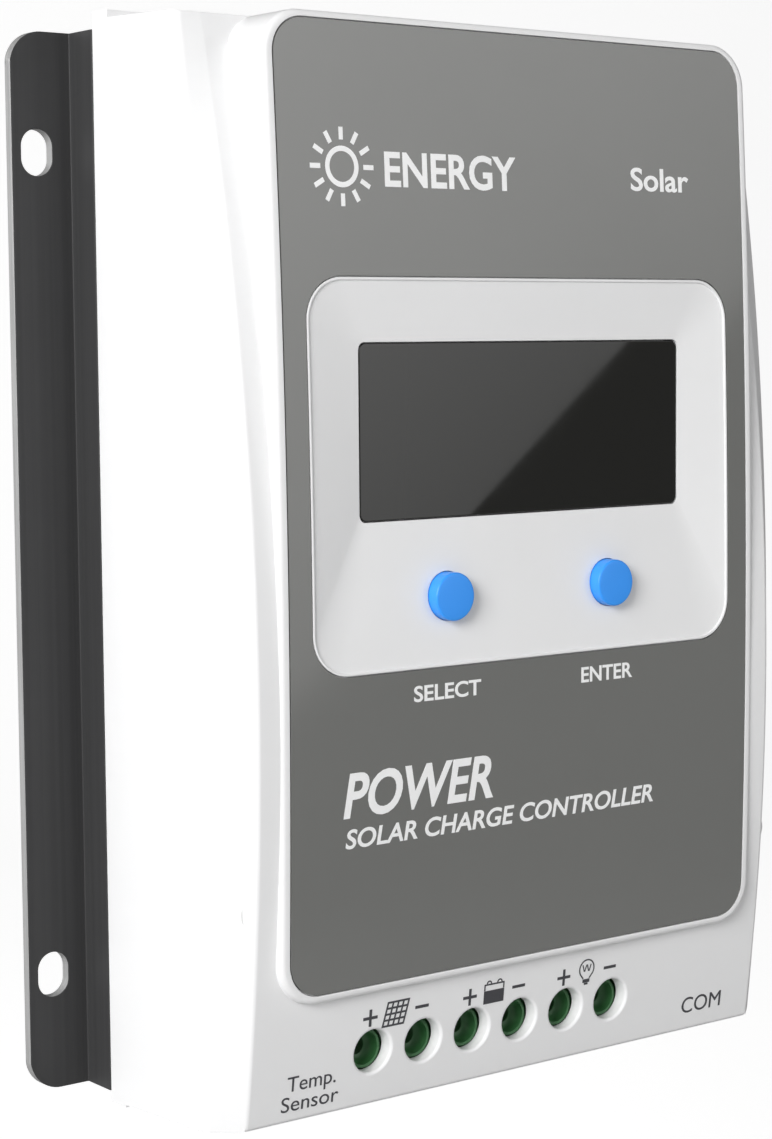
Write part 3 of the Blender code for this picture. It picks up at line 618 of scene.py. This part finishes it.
def addInside(piece):
    # screw bosses with their ribs, and the stakes that hold the display board
    boardFront = span("display_board")[1][1]
    boardRear = span("display_board")[0][1]
    bosses, ribs, holes = [], [], []
    for i in range(1, 5):
        x, _, z = middle(f"cover_screw_{i}")
        side = math.copysign(1, x)
        bosses.append(turned(x, z, [(2.9, cover["rear"] + 0.1), (2.9, arcDepth(frontArc, z) - 1.6)], 32))
        rib = sorted((x + side * 2.0, side * (cover["rearHalf"] - 1.6)))
        ribs.append(block(rib, (cover["rear"] + 0.4, arcDepth(cornerArc, z) - 4), (z - 0.8, z + 0.8)))
        holes.append(turned(x, z, [(1.8, cover["rear"] - 1), (1.8, 24)], 24))
    for x in (-38.8, 38.8):
        for z in (-8.5, 40.8):
            bosses.append(turned(x, z, [(2.2, boardFront + 0.3), (2.2, cover["displayRear"] + 1)], 24))
            ribs.append(turned(x, z, [(1.2, boardRear - 0.8), (1.2, boardFront + 2)], 24))
    combine(piece, together(bosses), "UNION")
    combine(piece, together(ribs), "UNION")
    combine(piece, together(holes))


def cutOpenings(piece):
    below = (coverLow[2] - 3, cover["body"][0] + cover["wall"] + 1)
    tools = []
    for name in poles:
        x, _, z = middle(f"{name}_screw")
        radius = cover["accessRadius"]
        tools.append(turned(x, z, [(radius, 36), (radius, 46)], 48))
        tools.append(block((x - radius, x + radius), cover["wireWay"], below))
    for node in ("temp_sensor_socket", "com_socket"):
        low, high = span(node)
        tools.append(block((low[0] - 0.3, high[0] + 0.3), (low[1] - 0.3, high[1] + 0.3), below))
    for node in ("select_button", "enter_button"):
        x, _, z = middle(node)
        bore = cover["buttonBore"]
        tools.append(turned(x, z, [(bore, cover["displayRear"] - 2), (bore, 48)], 48))
    combine(piece, together(tools))


def softenCover(piece):
    accesses = [middle(f"{name}_screw") for name in poles]
    bores = [middle(f"{name}_button") for name in ("select", "enter")]

    def isRound(x, z, centres, radius, close):
        # on the circle about one of the centres
        return any(abs(math.hypot(x - at[0], z - at[2]) - radius) < close for at in centres)

    def isAccess(x, depth, z):
        return depth > 38.5 and isRound(x, z, accesses, cover["accessRadius"], 0.12)

    def isBore(x, depth, z):
        return depth > 40 and isRound(x, z, bores, cover["buttonBore"], 0.04)

    def isRim(x, depth, z):
        # the label's recess and the bezel's edge
        near = arcDepth(panelArc, z) - depth
        inLabel = abs(x) < 48.2 and -64.4 < z < 83.9
        return inLabel and -0.1 < near < 0.4 and (abs(x) > 41 or z < -13 or z > 43)

    count = softenEdges(piece, cover["accessRound"], 4, isAccess)
    count += softenEdges(piece, cover["boreRound"], 2, isBore)
    count += softenEdges(piece, cover["rimRound"], 2, isRim)
    print("cover: edges rounded:", count)


shell = makeShell()
cutFront(shell)
addInside(shell)
cutOpenings(shell)
softenCover(shell)
finishPiece(shell, [finishes["whiteCover"]], fixedBody, ["cover"], 32)
print("cover done:", len(shell.data.polygons), "faces")


# ---- heat sink: one extrusion with flanges, fins and punched slots; a painted highlight lightens the flanges' side edges and the slot walls

sinkLow, sinkHigh = span("heat_sink")
sink = {
    "half": sinkHigh[0],
    "flange": 1.8,
    "wallHalf": 58.9,
    "wall": 2.0,
    "plateRear": 6.0,
    "front": sinkHigh[1],
    "cornerRadius": 5.5,
    "finPitch": 9.2,
    "finThick": 1.6,
    "finTip": 0.7,
    "finsEachSide": 5,
    "slotAt": 65.0,
    "slotWide": 5.4,
    "slotTall": 7.2,
}


def sinkProfile():
    points, radii = [], []
    for i in range(-sink["finsEachSide"], sink["finsEachSide"] + 1):
        left = i * sink["finPitch"] - sink["finThick"] / 2
        right = left + sink["finThick"]
        points += [(left, sink["plateRear"]), (left, sink["finTip"]), (right, sink["finTip"]),
                   (right, sink["plateRear"])]
        radii += [0.6, 0.4, 0.4, 0.6]
    inner, outer = sink["wallHalf"] - sink["wall"], sink["wallHalf"]
    side = [(inner, sink["plateRear"]), (inner, 0), (sink["half"], 0), (sink["half"], sink["flange"]),
            (outer, sink["flange"]), (outer, sink["front"])]
    sideRadii = [0.9, 0.4, 0.3, 0.3, 0.2, 0.3]
    points += side + [(-x, depth) for x, depth in reversed(side)]
    radii += sideRadii + sideRadii[::-1]
    return roundedOutline(points, radii, 4)


def makeHeatSink():
    profile = sinkProfile()
    piece = toObject("heat_sink_body", loft([[(x, depth, z) for x, depth in profile]
                                             for z in (sinkLow[2], sinkHigh[2])]))
    frameX, frameZ = (sinkLow[0] + 0.002, sinkHigh[0] - 0.002), (sinkLow[2] + 0.002, sinkHigh[2] - 0.002)
    combine(piece, prism(roundedRectangle(frameX, frameZ, sink["cornerRadius"], 14), -3, 12), "INTERSECT")
    tools = []
    for x in (-sink["slotAt"], sink["slotAt"]):
        for z in (-sink["slotAt"], sink["slotAt"]):
            wide, tall = sink["slotWide"] / 2, sink["slotTall"] / 2
            slot = roundedRectangle((x - wide, x + wide), (z - tall, z + tall), wide - 0.01, 14)
            tools.append(prism(slot, -1, 4))
    for i in range(1, 5):
        x, _, z = middle(f"cover_screw_{i}")
        tools.append(turned(x, z, [(1.8, 4), (1.8, 10)], 24))
    combine(piece, together(tools))

    def isSlotRim(x, depth, z):
        aside, above = abs(abs(x) - sink["slotAt"]), abs(abs(z) - sink["slotAt"])
        return aside < 2.8 and above < 3.7 and abs(depth - sink["flange"]) < 0.01

    softenEdges(piece, 0.2, 3, isSlotRim)
    # painted highlight: a lighter, partly metallic grey on the flanges' side edges and in the slots
    for face in piece.data.polygons:
        onFlange = abs(face.center.x) > sink["wallHalf"] + 0.6 and -face.center.y < sink["flange"] + 0.01
        face.material_index = 1 if onFlange and abs(face.normal.y) < 0.6 else 0
    return piece


heatSink = makeHeatSink()
indices = [face.material_index for face in heatSink.data.polygons]
finishPiece(heatSink, [finishes["anodised"], finishes["paintedEdgeHighlight"]], fixedBody,
            ["heat_sink"])
heatSink.data.polygons.foreach_set("material_index", indices)
print("heat sink done:", len(heatSink.data.polygons), "faces")


# ---- front label: a printed film bent to the panel

def makeLabel():
    outlineX, outlineZ = (labelLow[0], labelHigh[0]), (labelLow[2], labelHigh[2])
    radius = cover["labelRadius"] - cover["gap"]
    piece = arcEnded("label_film", roundedRectangle(outlineX, outlineZ, radius, 12), 35, panelArc)
    combine(piece, arcBlock(panelArc, 28, -cover["labelThick"]))
    holeX, holeZ = grow(cover["bezelX"], cover["bezelZ"], cover["gap"])
    combine(piece, prism(roundedRectangle(holeX, holeZ, cover["bezelRadius"] + cover["gap"], 12), 25, 70))
    return piece


label = makeLabel()
finishPiece(label, [finishes["greyFilm"]], fixedBody, ["front_label"], 32)
print("label done:", len(label.data.polygons), "faces")


# ---- print: plain words and symbols, as thin ink on the surface

ink = {"thick": 0.03, "lift": 0.015}


def inkPiece(name, bm, x, z, arc, finish, lean=0.0):
    # a flat (x, z) drawing set on the surface that an arc describes
    for vert in bm.verts:
        across, up, out = vert.co.x, vert.co.y, vert.co.z
        height = z + up
        vert.co = Vector((x + across + lean * up, -(arcDepth(arc, height) + ink["lift"] + out), height))
    piece = toObject(name, bm)
    return finishPiece(piece, [finish], fixedBody, smoothTo=30, weighted=False)


def wordShape(text, tall, wide, bold=0.0):
    # a word as a thin closed mesh, centred on the origin, fitted to a capital's height and the word's width
    curve = bpy.data.curves.new("word", "FONT")
    curve.body = text
    curve.size = tall / 0.7
    curve.offset = bold
    curve.resolution_u = 5
    curve.extrude = ink["thick"] / 2
    holder = bpy.data.objects.new("word", curve)
    bpy.context.scene.collection.objects.link(holder)
    bpy.context.view_layer.update()
    mesh = bpy.data.meshes.new_from_object(holder.evaluated_get(bpy.context.evaluated_depsgraph_get()))
    bpy.data.objects.remove(holder, do_unlink=True)
    bm = bmesh.new()
    bm.from_mesh(mesh)
    bpy.data.meshes.remove(mesh)
    bmesh.ops.remove_doubles(bm, verts=bm.verts, dist=0.0005)
    left, right = min(vert.co.x for vert in bm.verts), max(vert.co.x for vert in bm.verts)
    top = max(vert.co.y for vert in bm.verts)
    bmesh.ops.translate(bm, verts=bm.verts, vec=(-(left + right) / 2, -top / 2, ink["thick"] / 2))
    bmesh.ops.scale(bm, verts=bm.verts, vec=(wide / (right - left), tall / top, 1))
    return bm


def bar(x, z):
    bm = bmesh.new()
    size = (x[1] - x[0], z[1] - z[0], ink["thick"])
    centre = ((x[0] + x[1]) / 2, (z[0] + z[1]) / 2, ink["thick"] / 2)
    bmesh.ops.create_cube(bm, size=1.0, matrix=Matrix.LocRotScale(Vector(centre), None, Vector(size)))
    return bm


def ringShape(radius, width, sides=40, spread=2 * math.pi, start=0.0):
    # a flat ring or part of one, spun from a small rectangle
    bm = bmesh.new()
    corners = [(radius - width, 0), (radius, 0), (radius, ink["thick"]), (radius - width, ink["thick"])]
    verts = [bm.verts.new((x, 0, up)) for x, up in corners]
    face = bm.faces.new(verts)
    full = abs(spread - 2 * math.pi) < 1e-6
    bmesh.ops.rotate(bm, verts=verts, matrix=Matrix.Rotation(start, 3, "Z"))
    geom = verts + list(bm.edges) + ([] if full else [face])
    if full:
        bmesh.ops.delete(bm, geom=[face], context="FACES_ONLY")
        geom = list(bm.verts) + list(bm.edges)
    bmesh.ops.spin(bm, geom=geom, cent=(0, 0, 0), axis=(0, 0, 1), angle=spread, steps=sides, use_merge=full)
    bmesh.ops.remove_doubles(bm, verts=bm.verts, dist=0.0005)
    return bm


def moved(bm, x, z, turn=0.0):
    bmesh.ops.rotate(bm, verts=bm.verts, matrix=Matrix.Rotation(turn, 3, "Z"))
    bmesh.ops.translate(bm, verts=bm.verts, vec=(x, z, 0))
    return bm


def plusShape():
    # one closed outline, so that the strokes don't overlap
    s, half = 0.25, 1.4  # half the stroke and half the length
    corners = [(-s, -half), (s, -half), (s, -s), (half, -s), (half, s), (s, s),
               (s, half), (-s, half), (-s, s), (-half, s), (-half, -s), (-s, -s)]
    return loftFlat(corners)


def loftFlat(corners):
    bm = bmesh.new()
    face = bm.faces.new([bm.verts.new((x, z, 0)) for x, z in corners])
    raised = bmesh.ops.extrude_face_region(bm, geom=[face])
    top = [item for item in raised["geom"] if isinstance(item, bmesh.types.BMVert)]
    bmesh.ops.translate(bm, verts=top, vec=(0, 0, ink["thick"]))
    return bm


def panelIcon():
    # a leaning panel: a frame with a grid of cells
    parts = []
    wide, tall, cells, stroke = 4.1, 3.8, 4, 0.16
    for i in range(cells + 1):
        at = -tall / 2 + tall * i / cells
        parts.append(bar((-wide / 2 - stroke, wide / 2 + stroke), (at - stroke, at + stroke)))
    for i in range(cells + 1):
        at = -wide / 2 + wide * i / cells
        for k in range(cells):
            low = -tall / 2 + tall * k / cells + stroke
            parts.append(bar((at - stroke, at + stroke), (low, low + tall / cells - 2 * stroke)))
    return together(parts)


def batteryIcon():
    # a case filled to its shoulder, with a lid line and two posts
    parts = [bar((-2.1, 2.1), (-1.75, 0.45)), bar((-2.1, -1.86), (0.5, 1.35)),
             bar((1.86, 2.1), (0.5, 1.35)), bar((-2.1, 2.1), (1.35, 1.6))]
    for x in (-1.1, 1.1):
        parts.append(moved(ringShape(0.55, 0.22, 16, math.pi), x, 1.62))
    return together(parts)


def bulbIcon():
    # an envelope that narrows to its cap, with a bent filament
    low = math.radians(-28)
    radius, stroke, rise = 1.7, 0.24, 0.7
    parts = [moved(ringShape(radius, stroke, 36, math.pi - 2 * low, low), 0, rise)]
    neck, foot = ((radius - 0.1) * math.cos(low), rise + radius * math.sin(low) + 0.05), (0.62, -1.0)
    length = math.hypot(neck[0] - foot[0], neck[1] - foot[1])
    lean = math.atan2(neck[0] - foot[0], neck[1] - foot[1])
    for side in (-1, 1):
        wall = bar((-stroke / 2, stroke / 2), (0.05, length))
        parts.append(moved(wall, side * foot[0], foot[1], -side * lean))
        for x, turn in ((0.25, 18), (0.72, -18)):
            parts.append(moved(bar((-0.1, 0.1), (-0.62, 0.62)), side * x, 0.85, math.radians(side * turn)))
    parts += [bar((-0.75, 0.75), (-1.65, -1.05)), bar((-0.4, 0.4), (-2.05, -1.7))]
    return together(parts)


def sunIcon():
    # a plain sun: a ring and straight rays
    parts = [ringShape(3.1, 0.8, 48)]
    for i in range(12):
        angle = 2 * math.pi * i / 12
        parts.append(moved(bar((-0.38, 0.38), (4.0, 5.9)), 0, 0, angle))
    return together(parts)


# each word: its capitals' height, its width, how far its strokes are thickened, its place and its lean
filmWords = {
    "select": ("SELECT", 2.45, 13.4, 0.07, -17.7, -19.0, 0.0),
    "enter": ("ENTER", 2.45, 11.2, 0.07, 15.7, -19.0, 0.0),
    "power": ("POWER", 6.8, 29.5, 0.22, -22.6, -33.4, 0.18),
    "charge_controller": ("SOLAR CHARGE CONTROLLER", 2.95, 64.0, 0.08, -5.4, -40.2, 0.18),
    "energy": ("ENERGY", 5.2, 26.0, 0.16, -15.0, 61.5, 0.0),
    "solar": ("Solar", 3.7, 13.0, 0.1, 29.0, 61.5, 0.0),
}
bandWords = {
    "temp": ("Temp.", 2.4, 9.2, 0.0, -41.6, -77.8, 0.0),
    "sensor": ("Sensor", 2.4, 10.8, 0.0, -41.7, -81.0, 0.0),
    "com": ("COM", 2.8, 9.3, 0.0, 41.7, -79.5, 0.0),
}
bandMarks = {"z": -69.7, "aside": -1.0, "minusZ": -69.5, "minusAside": -0.8}


def makeWords(words):
    return [(name, wordShape(text, tall, wide, bold), x, z, lean)
            for name, (text, tall, wide, bold, x, z, lean) in words.items()]


def makePrint():
    onFilm = makeWords(filmWords) + [("sun", sunIcon(), -36.0, 61.5, 0.0)]
    onBand = []
    icons = {"pv": (panelIcon, 0.24), "battery": (batteryIcon, 0.0), "load": (bulbIcon, 0.0)}
    z, aside, minusAside = bandMarks["z"], bandMarks["aside"], bandMarks["minusAside"]
    for group, (icon, lean) in icons.items():
        left, right = [middle(f"{group}_{sign}_screw")[0] for sign in ("plus", "minus")]
        onBand.append((f"{group}_plus", plusShape(), left + aside, z, 0.0))
        minus = bar((-1.35, 1.35), (-0.25, 0.25))
        onBand.append((f"{group}_minus", minus, right + minusAside, bandMarks["minusZ"], 0.0))
        onBand.append((f"{group}_icon", icon(), (left + right) / 2 + aside, z, lean))
    onBand += makeWords(bandWords)
    for shapes, arc, finish, slot in ((onFilm, panelArc, "whitePrint", "grey_label"),
                                      (onBand, frontArc, "greyPrint", "white_plastic")):
        for name, shape, x, z, lean in shapes:
            inkPiece(f"print_{name}", shape, x, z, arc, finishes[finish], lean)
    return len(onFilm) + len(onBand)


print("print done:", makePrint(), "pieces")


# ---- display window and buttons

def makeWindow():
    windowX, windowZ = (windowLow[0], windowHigh[0]), (windowLow[2], windowHigh[2])
    outline = roundedRectangle(windowX, windowZ, cover["windowRadius"], 8)
    piece = toObject("window_lens", prism(outline, windowLow[1], windowHigh[1]))
    softenEdges(piece, 0.15, 3, lambda x, depth, z: depth > windowHigh[1] - 0.01)
    return finishPiece(piece, [finishes["smokedWindow"]], fixedBody, ["lcd_window"])


button = {"flangeWide": 1.1, "flangeThick": 1.3, "flangeEdge": 0.15, "edge": 0.35, "dome": 0.06,
          "steps": 6}


def makeButton(name):
    low, high = span(f"{name}_button")
    x, z = (low[0] + high[0]) / 2, (low[2] + high[2]) / 2
    flange = (high[0] - low[0]) / 2
    radius, front, edge = flange - button["flangeWide"], high[1], button["edge"]
    bevel, step = button["flangeEdge"], low[1] + button["flangeThick"]
    profile = [(flange - bevel, low[1]), (flange, low[1] + bevel), (flange, step - bevel),
               (flange - bevel, step), (radius, step)]
    shoulder = front - button["dome"] - edge
    for k in range(button["steps"] + 1):
        angle = math.pi / 2 * k / button["steps"]
        profile.append((radius - edge + edge * math.cos(angle), shoulder + edge * math.sin(angle)))
    for k in range(1, button["steps"]):
        share = 1 - k / button["steps"]
        profile.append(((radius - edge) * share, front - button["dome"] * share ** 2))
    profile.append((0.01, front))
    piece = toObject(f"{name}_cap", turned(x, z, profile, 64))
    return finishPiece(piece, [finishes["buttonBlue"]], f"{name}_press", [f"{name}_button"])


makeWindow()
for name in ("select", "enter"):
    makeButton(name)
print("window and buttons done")


# ---- terminals: housings with funnelled screw wells, over the moving screws and cages

terminal = {"collarRadius": 3.25, "collarRise": 1.4, "collarEdge": 0.15, "blockEdge": 0.3,
            "wellRadius": 2.5, "driverRadius": 1.5, "neck": 2.2, "clear": 0.4, "dishRadius": 2.7,
            "dishStart": 0.5, "dishDepth": 1.6, "dishSteps": 8, "wireHalf": 2.6,
            "wireDepth": (20.2, 24.8), "funnelSpread": 0.4}


def screwWay(x, z, front, head):
    # a dish in the collar, with the screwdriver's way in at its middle and room for the screw's head
    well, driver, dish = terminal["wellRadius"], terminal["driverRadius"], terminal["dishRadius"]
    top = head + terminal["clear"]
    way = [(well, head - terminal["neck"] - 1), (well, top), (driver, top + 0.01)]
    for k in range(terminal["dishSteps"] + 1):
        angle = math.pi / 2 * (1 - k / terminal["dishSteps"])
        depth = front - terminal["dishStart"] - terminal["dishDepth"] * math.sin(angle)
        way.append((driver + (dish - driver) * math.cos(angle), depth))
    way.append((dish, front + 1))
    return turned(x, z, way, 48)


def makeTerminalBlock(group):
    low, high = span(f"{group}_terminal_block")
    front = high[1] - terminal["collarRise"]
    body = block((low[0], high[0]), (low[1], front), (low[2], high[2]))
    piece = toObject(f"{group}_terminal_housing", body)
    softenEdges(piece, terminal["blockEdge"], 2, lambda x, depth, z: True)
    collars, cavities, wells, ways = [], [], [], []
    radius, edge, clear = terminal["collarRadius"], terminal["collarEdge"], terminal["clear"]
    wire, spread = terminal["wireHalf"], terminal["funnelSpread"]
    wireLow, wireHigh = terminal["wireDepth"]
    for sign in ("plus", "minus"):
        x, _, z = middle(f"{group}_{sign}_screw")
        head = span(f"{group}_{sign}_screw")[1][1]
        cageLow, cageHigh = span(f"{group}_{sign}_cage")
        barLow, barHigh = span(f"{group}_{sign}_contact")
        collar = [(radius, front - 1), (radius, high[1] - edge), (radius - edge, high[1])]
        collars.append(turned(x, z, collar, 48))
        cavities.append(block((cageLow[0] - clear, cageHigh[0] + clear),
                              (cageLow[1] - clear, head - terminal["neck"] - 0.3),
                              (cageLow[2] - clear, cageHigh[2] + 0.7)))
        wells.append(block((barLow[0] - clear, barHigh[0] + clear), (low[1] - 1, barHigh[1] + 0.7),
                           (cageHigh[2] + 0.3, barHigh[2] + 0.5)))
        ways.append(screwWay(x, z, high[1], head))
        # the wire's way in from below, a little wider at its mouth
        ways.append(block((x - wire, x + wire), (wireLow, wireHigh), (low[2] - 1, cageLow[2] + 0.5)))
        wells.append(block((x - wire - spread, x + wire + spread), (wireLow - spread, wireHigh + spread),
                           (low[2] - 1, low[2] + 1.2)))
    combine(piece, together(collars), "UNION")
    for tools in (cavities, wells, ways):
        combine(piece, together(tools))
    return finishPiece(piece, [finishes["terminalGreen"]], fixedBody,
                       [f"{group}_terminal_block"])


for name in ("pv", "battery", "load"):
    makeTerminalBlock(name)
print("terminal housings done")


# ---- data socket: eight spring contacts inside its shell

contact = {"count": 8, "pitch": 1.02, "half": 0.16, "thick": 0.3, "inset": 0.6, "spring": 1.8, "end": 1.4}


def makeContacts():
    # slanting strips along the front wall, opposite the latch
    openings = frame["record"]["physics"]["openings"]
    mouth = next(item for item in openings if item["name"] == "com_socket_mouth")
    (left, front, _), (right, _, roof) = [[1000 * value for value in corner] for corner in mouth["box_m"]]
    low, high = span("com_socket")[0][2] + contact["end"], roof - contact["end"]
    root = -front - contact["inset"]
    tip = root - contact["spring"]
    strips = []
    for k in range(contact["count"]):
        x = (left + right) / 2 + (k - (contact["count"] - 1) / 2) * contact["pitch"]
        section = [(root, low), (root + contact["thick"], low), (tip + contact["thick"], high), (tip, high)]
        strips.append(loft([[(side, depth, z) for depth, z in section]
                            for side in (x - contact["half"], x + contact["half"])]))
    piece = toObject("data_contacts", together(strips))
    return finishPiece(piece, [finishes["goldPlate"]], fixedBody)


makeContacts()
print("data contacts done")


# ---- the other nodes keep their shapes and take these finishes

nodeFinishes = {
    "thermalSheet": ["thermal_pad"],
    "blackMoulding": ["lcd_holder", "board_link_header", "select_switch", "enter_switch", "select_plunger",
                      "enter_plunger", "com_socket", "buck_transistor_1", "buck_transistor_2",
                      "load_transistor"],
    "liquidCrystal": ["lcd_glass"],
    "milkySheet": ["lcd_backlight"],
    "solderMask": ["display_board", "main_board"],
    "terminalGreen": ["temp_sensor_socket"],
    "enamelWire": ["power_inductor"],
    "canSleeve": ["pv_capacitor_1", "pv_capacitor_2", "battery_capacitor"],
    "nickel": [f"{name}_{part}" for name in poles for part in ("screw", "cage")]
              + [f"{part}_{i}" for part in ("standoff", "board_screw", "cover_screw") for i in range(1, 5)],
    "tinPlate": [f"{name}_contact" for name in poles],
}
for finish, members in nodeFinishes.items():
    for name in members:
        data = nodes[name].data
        data.materials.clear()
        data.materials.append(finishes[finish])
print("finishes given to the carried-over nodes")


# ---- stage, lights and camera

stage = {"floor": -0.30, "back": 1.6, "half": 3.0, "front": -3.0, "bend": 0.5, "rise": 2.6, "glow": 0.8}


def makeStage():
    # a floor that bends up into a back wall, both pale
    bm = bmesh.new()
    profile = [(stage["front"], stage["floor"])]
    for k in range(13):
        angle = math.pi / 2 * k / 12
        profile.append((stage["back"] - stage["bend"] + stage["bend"] * math.sin(angle),
                        stage["floor"] + stage["bend"] - stage["bend"] * math.cos(angle)))
    profile.append((stage["back"], stage["floor"] + stage["rise"]))
    verts = [bm.verts.new((-stage["half"], y, z)) for y, z in profile]
    edges = [bm.edges.new(pair) for pair in zip(verts, verts[1:])]
    swept = bmesh.ops.extrude_edge_only(bm, edges=edges)
    moving = [item for item in swept["geom"] if isinstance(item, bmesh.types.BMVert)]
    bmesh.ops.translate(bm, verts=moving, vec=(2 * stage["half"], 0, 0))
    floor = toObject("studio_floor", bm)
    floor.data.shade_smooth()
    paint = bpy.data.materials.new("paleFloor")
    paint.use_nodes = True
    tree = paint.node_tree
    # brighter where the camera sees it directly
    seen = addNode(tree, "LightPath", {})["Is Camera Ray"]
    level = addNode(tree, "MapRange", {"Value": seen, "To Max": stage["glow"]})["Result"]
    setInputs(tree, tree.nodes["Principled BSDF"].inputs, {
        "Base Color": (0.5, 0.5, 0.5, 1), "Roughness": 0.9, "Emission Color": (1, 1, 1, 1),
        "Emission Strength": level})
    floor.data.materials.append(paint)


def areaLight(name, place, aim, size, watts, spin=0.0):
    data = bpy.data.lights.new(name, "AREA")
    data.shape = "RECTANGLE"
    data.size, data.size_y = size
    data.energy = watts
    light = bpy.data.objects.new(name, data)
    bpy.context.scene.collection.objects.link(light)
    facing = (Vector(aim) - Vector(place)).to_track_quat("-Z", "Y").to_matrix().to_4x4()
    light.matrix_world = Matrix.Translation(place) @ facing @ Matrix.Rotation(spin, 4, "Z")
    return light


def makeWorld():
    # soft light, stronger from the left, on a background that the camera sees as white
    world = bpy.data.worlds.new("studio")
    world.use_nodes = True
    bpy.context.scene.world = world
    tree = world.node_tree
    place = addNode(tree, "TexCoord", {})["Generated"]
    across = addNode(tree, "SeparateXYZ", {"Vector": place})["X"]
    values = {"Value": across, "From Min": -1.0, "To Min": 0.36, "To Max": 0.06}
    level = addNode(tree, "MapRange", values)["Result"]
    seen = addNode(tree, "LightPath", {})["Is Camera Ray"]
    white = addNode(tree, "Math", {0: level, 1: seen}, operation="MAXIMUM")["Value"]
    setInputs(tree, tree.nodes["Background"].inputs, {"Color": (1, 1, 1, 1), "Strength": white})


def fadeAcross(light, low, high):
    # the light grows from one edge to the other along its own y
    light.data.use_nodes = True
    tree = light.data.node_tree
    place = addNode(tree, "NewGeometry", {})["Parametric"]
    up = addNode(tree, "SeparateXYZ", {"Vector": place})["Y"]
    level = addNode(tree, "MapRange", {"Value": up, "To Min": low, "To Max": high})["Result"]
    setInputs(tree, tree.nodes["Emission"].inputs, {"Strength": level})


lights = {
    "keyLight": {"place": (-0.998, -0.531, 0.41), "aim": (0, 0, 0), "size": (0.5, 0.5), "watts": 13.5},
    "backCard": {"place": (-0.75, 0.70, 0.10), "aim": (-0.07, 0, 0), "size": (1.0, 1.0), "watts": 2.5},
    # a long panel whose straight lower edge shows as a slanting reflection in the window and label
    "frontPanel": {"place": (0.556, -0.80, 0.189), "aim": (0.556, 0, 0.189), "size": (0.72, 0.45),
                   "watts": 2.1, "spin": math.radians(38.9)},
}
panelFade = (0.5, 1.55)


def makeLights():
    makeWorld()
    made = {name: areaLight(name, **values) for name, values in lights.items()}
    fadeAcross(made["frontPanel"], *panelFade)


view = {"azimuth": 37.194, "tilt": 5.241, "roll": -0.455, "lens": 80.16, "sensor": 36,
        "place": (-0.2628, -0.35122, 0.03607)}


def makeCamera():
    # the view from the left and a little above
    azimuth, tilt, roll = [math.radians(view[name]) for name in ("azimuth", "tilt", "roll")]
    level = math.cos(tilt)
    forward = Vector((math.sin(azimuth) * level, math.cos(azimuth) * level, -math.sin(tilt)))
    right = forward.cross(Vector((0, 0, 1))).normalized()
    up = right.cross(forward)
    turnedRight = right * math.cos(roll) + up * math.sin(roll)
    turnedUp = up * math.cos(roll) - right * math.sin(roll)
    data = bpy.data.cameras.new("camera")
    data.lens = view["lens"]
    data.sensor_width = view["sensor"]
    data.clip_start = 0.01
    camera = bpy.data.objects.new("camera", data)
    bpy.context.scene.collection.objects.link(camera)
    axes = Matrix((turnedRight, turnedUp, -forward)).transposed().to_4x4()
    camera.matrix_world = Matrix.Translation(view["place"]) @ axes
    bpy.context.scene.camera = camera


makeStage()
makeLights()
makeCamera()
bpy.context.scene.view_settings.view_transform = "Standard"
print("stage, lights and camera done")
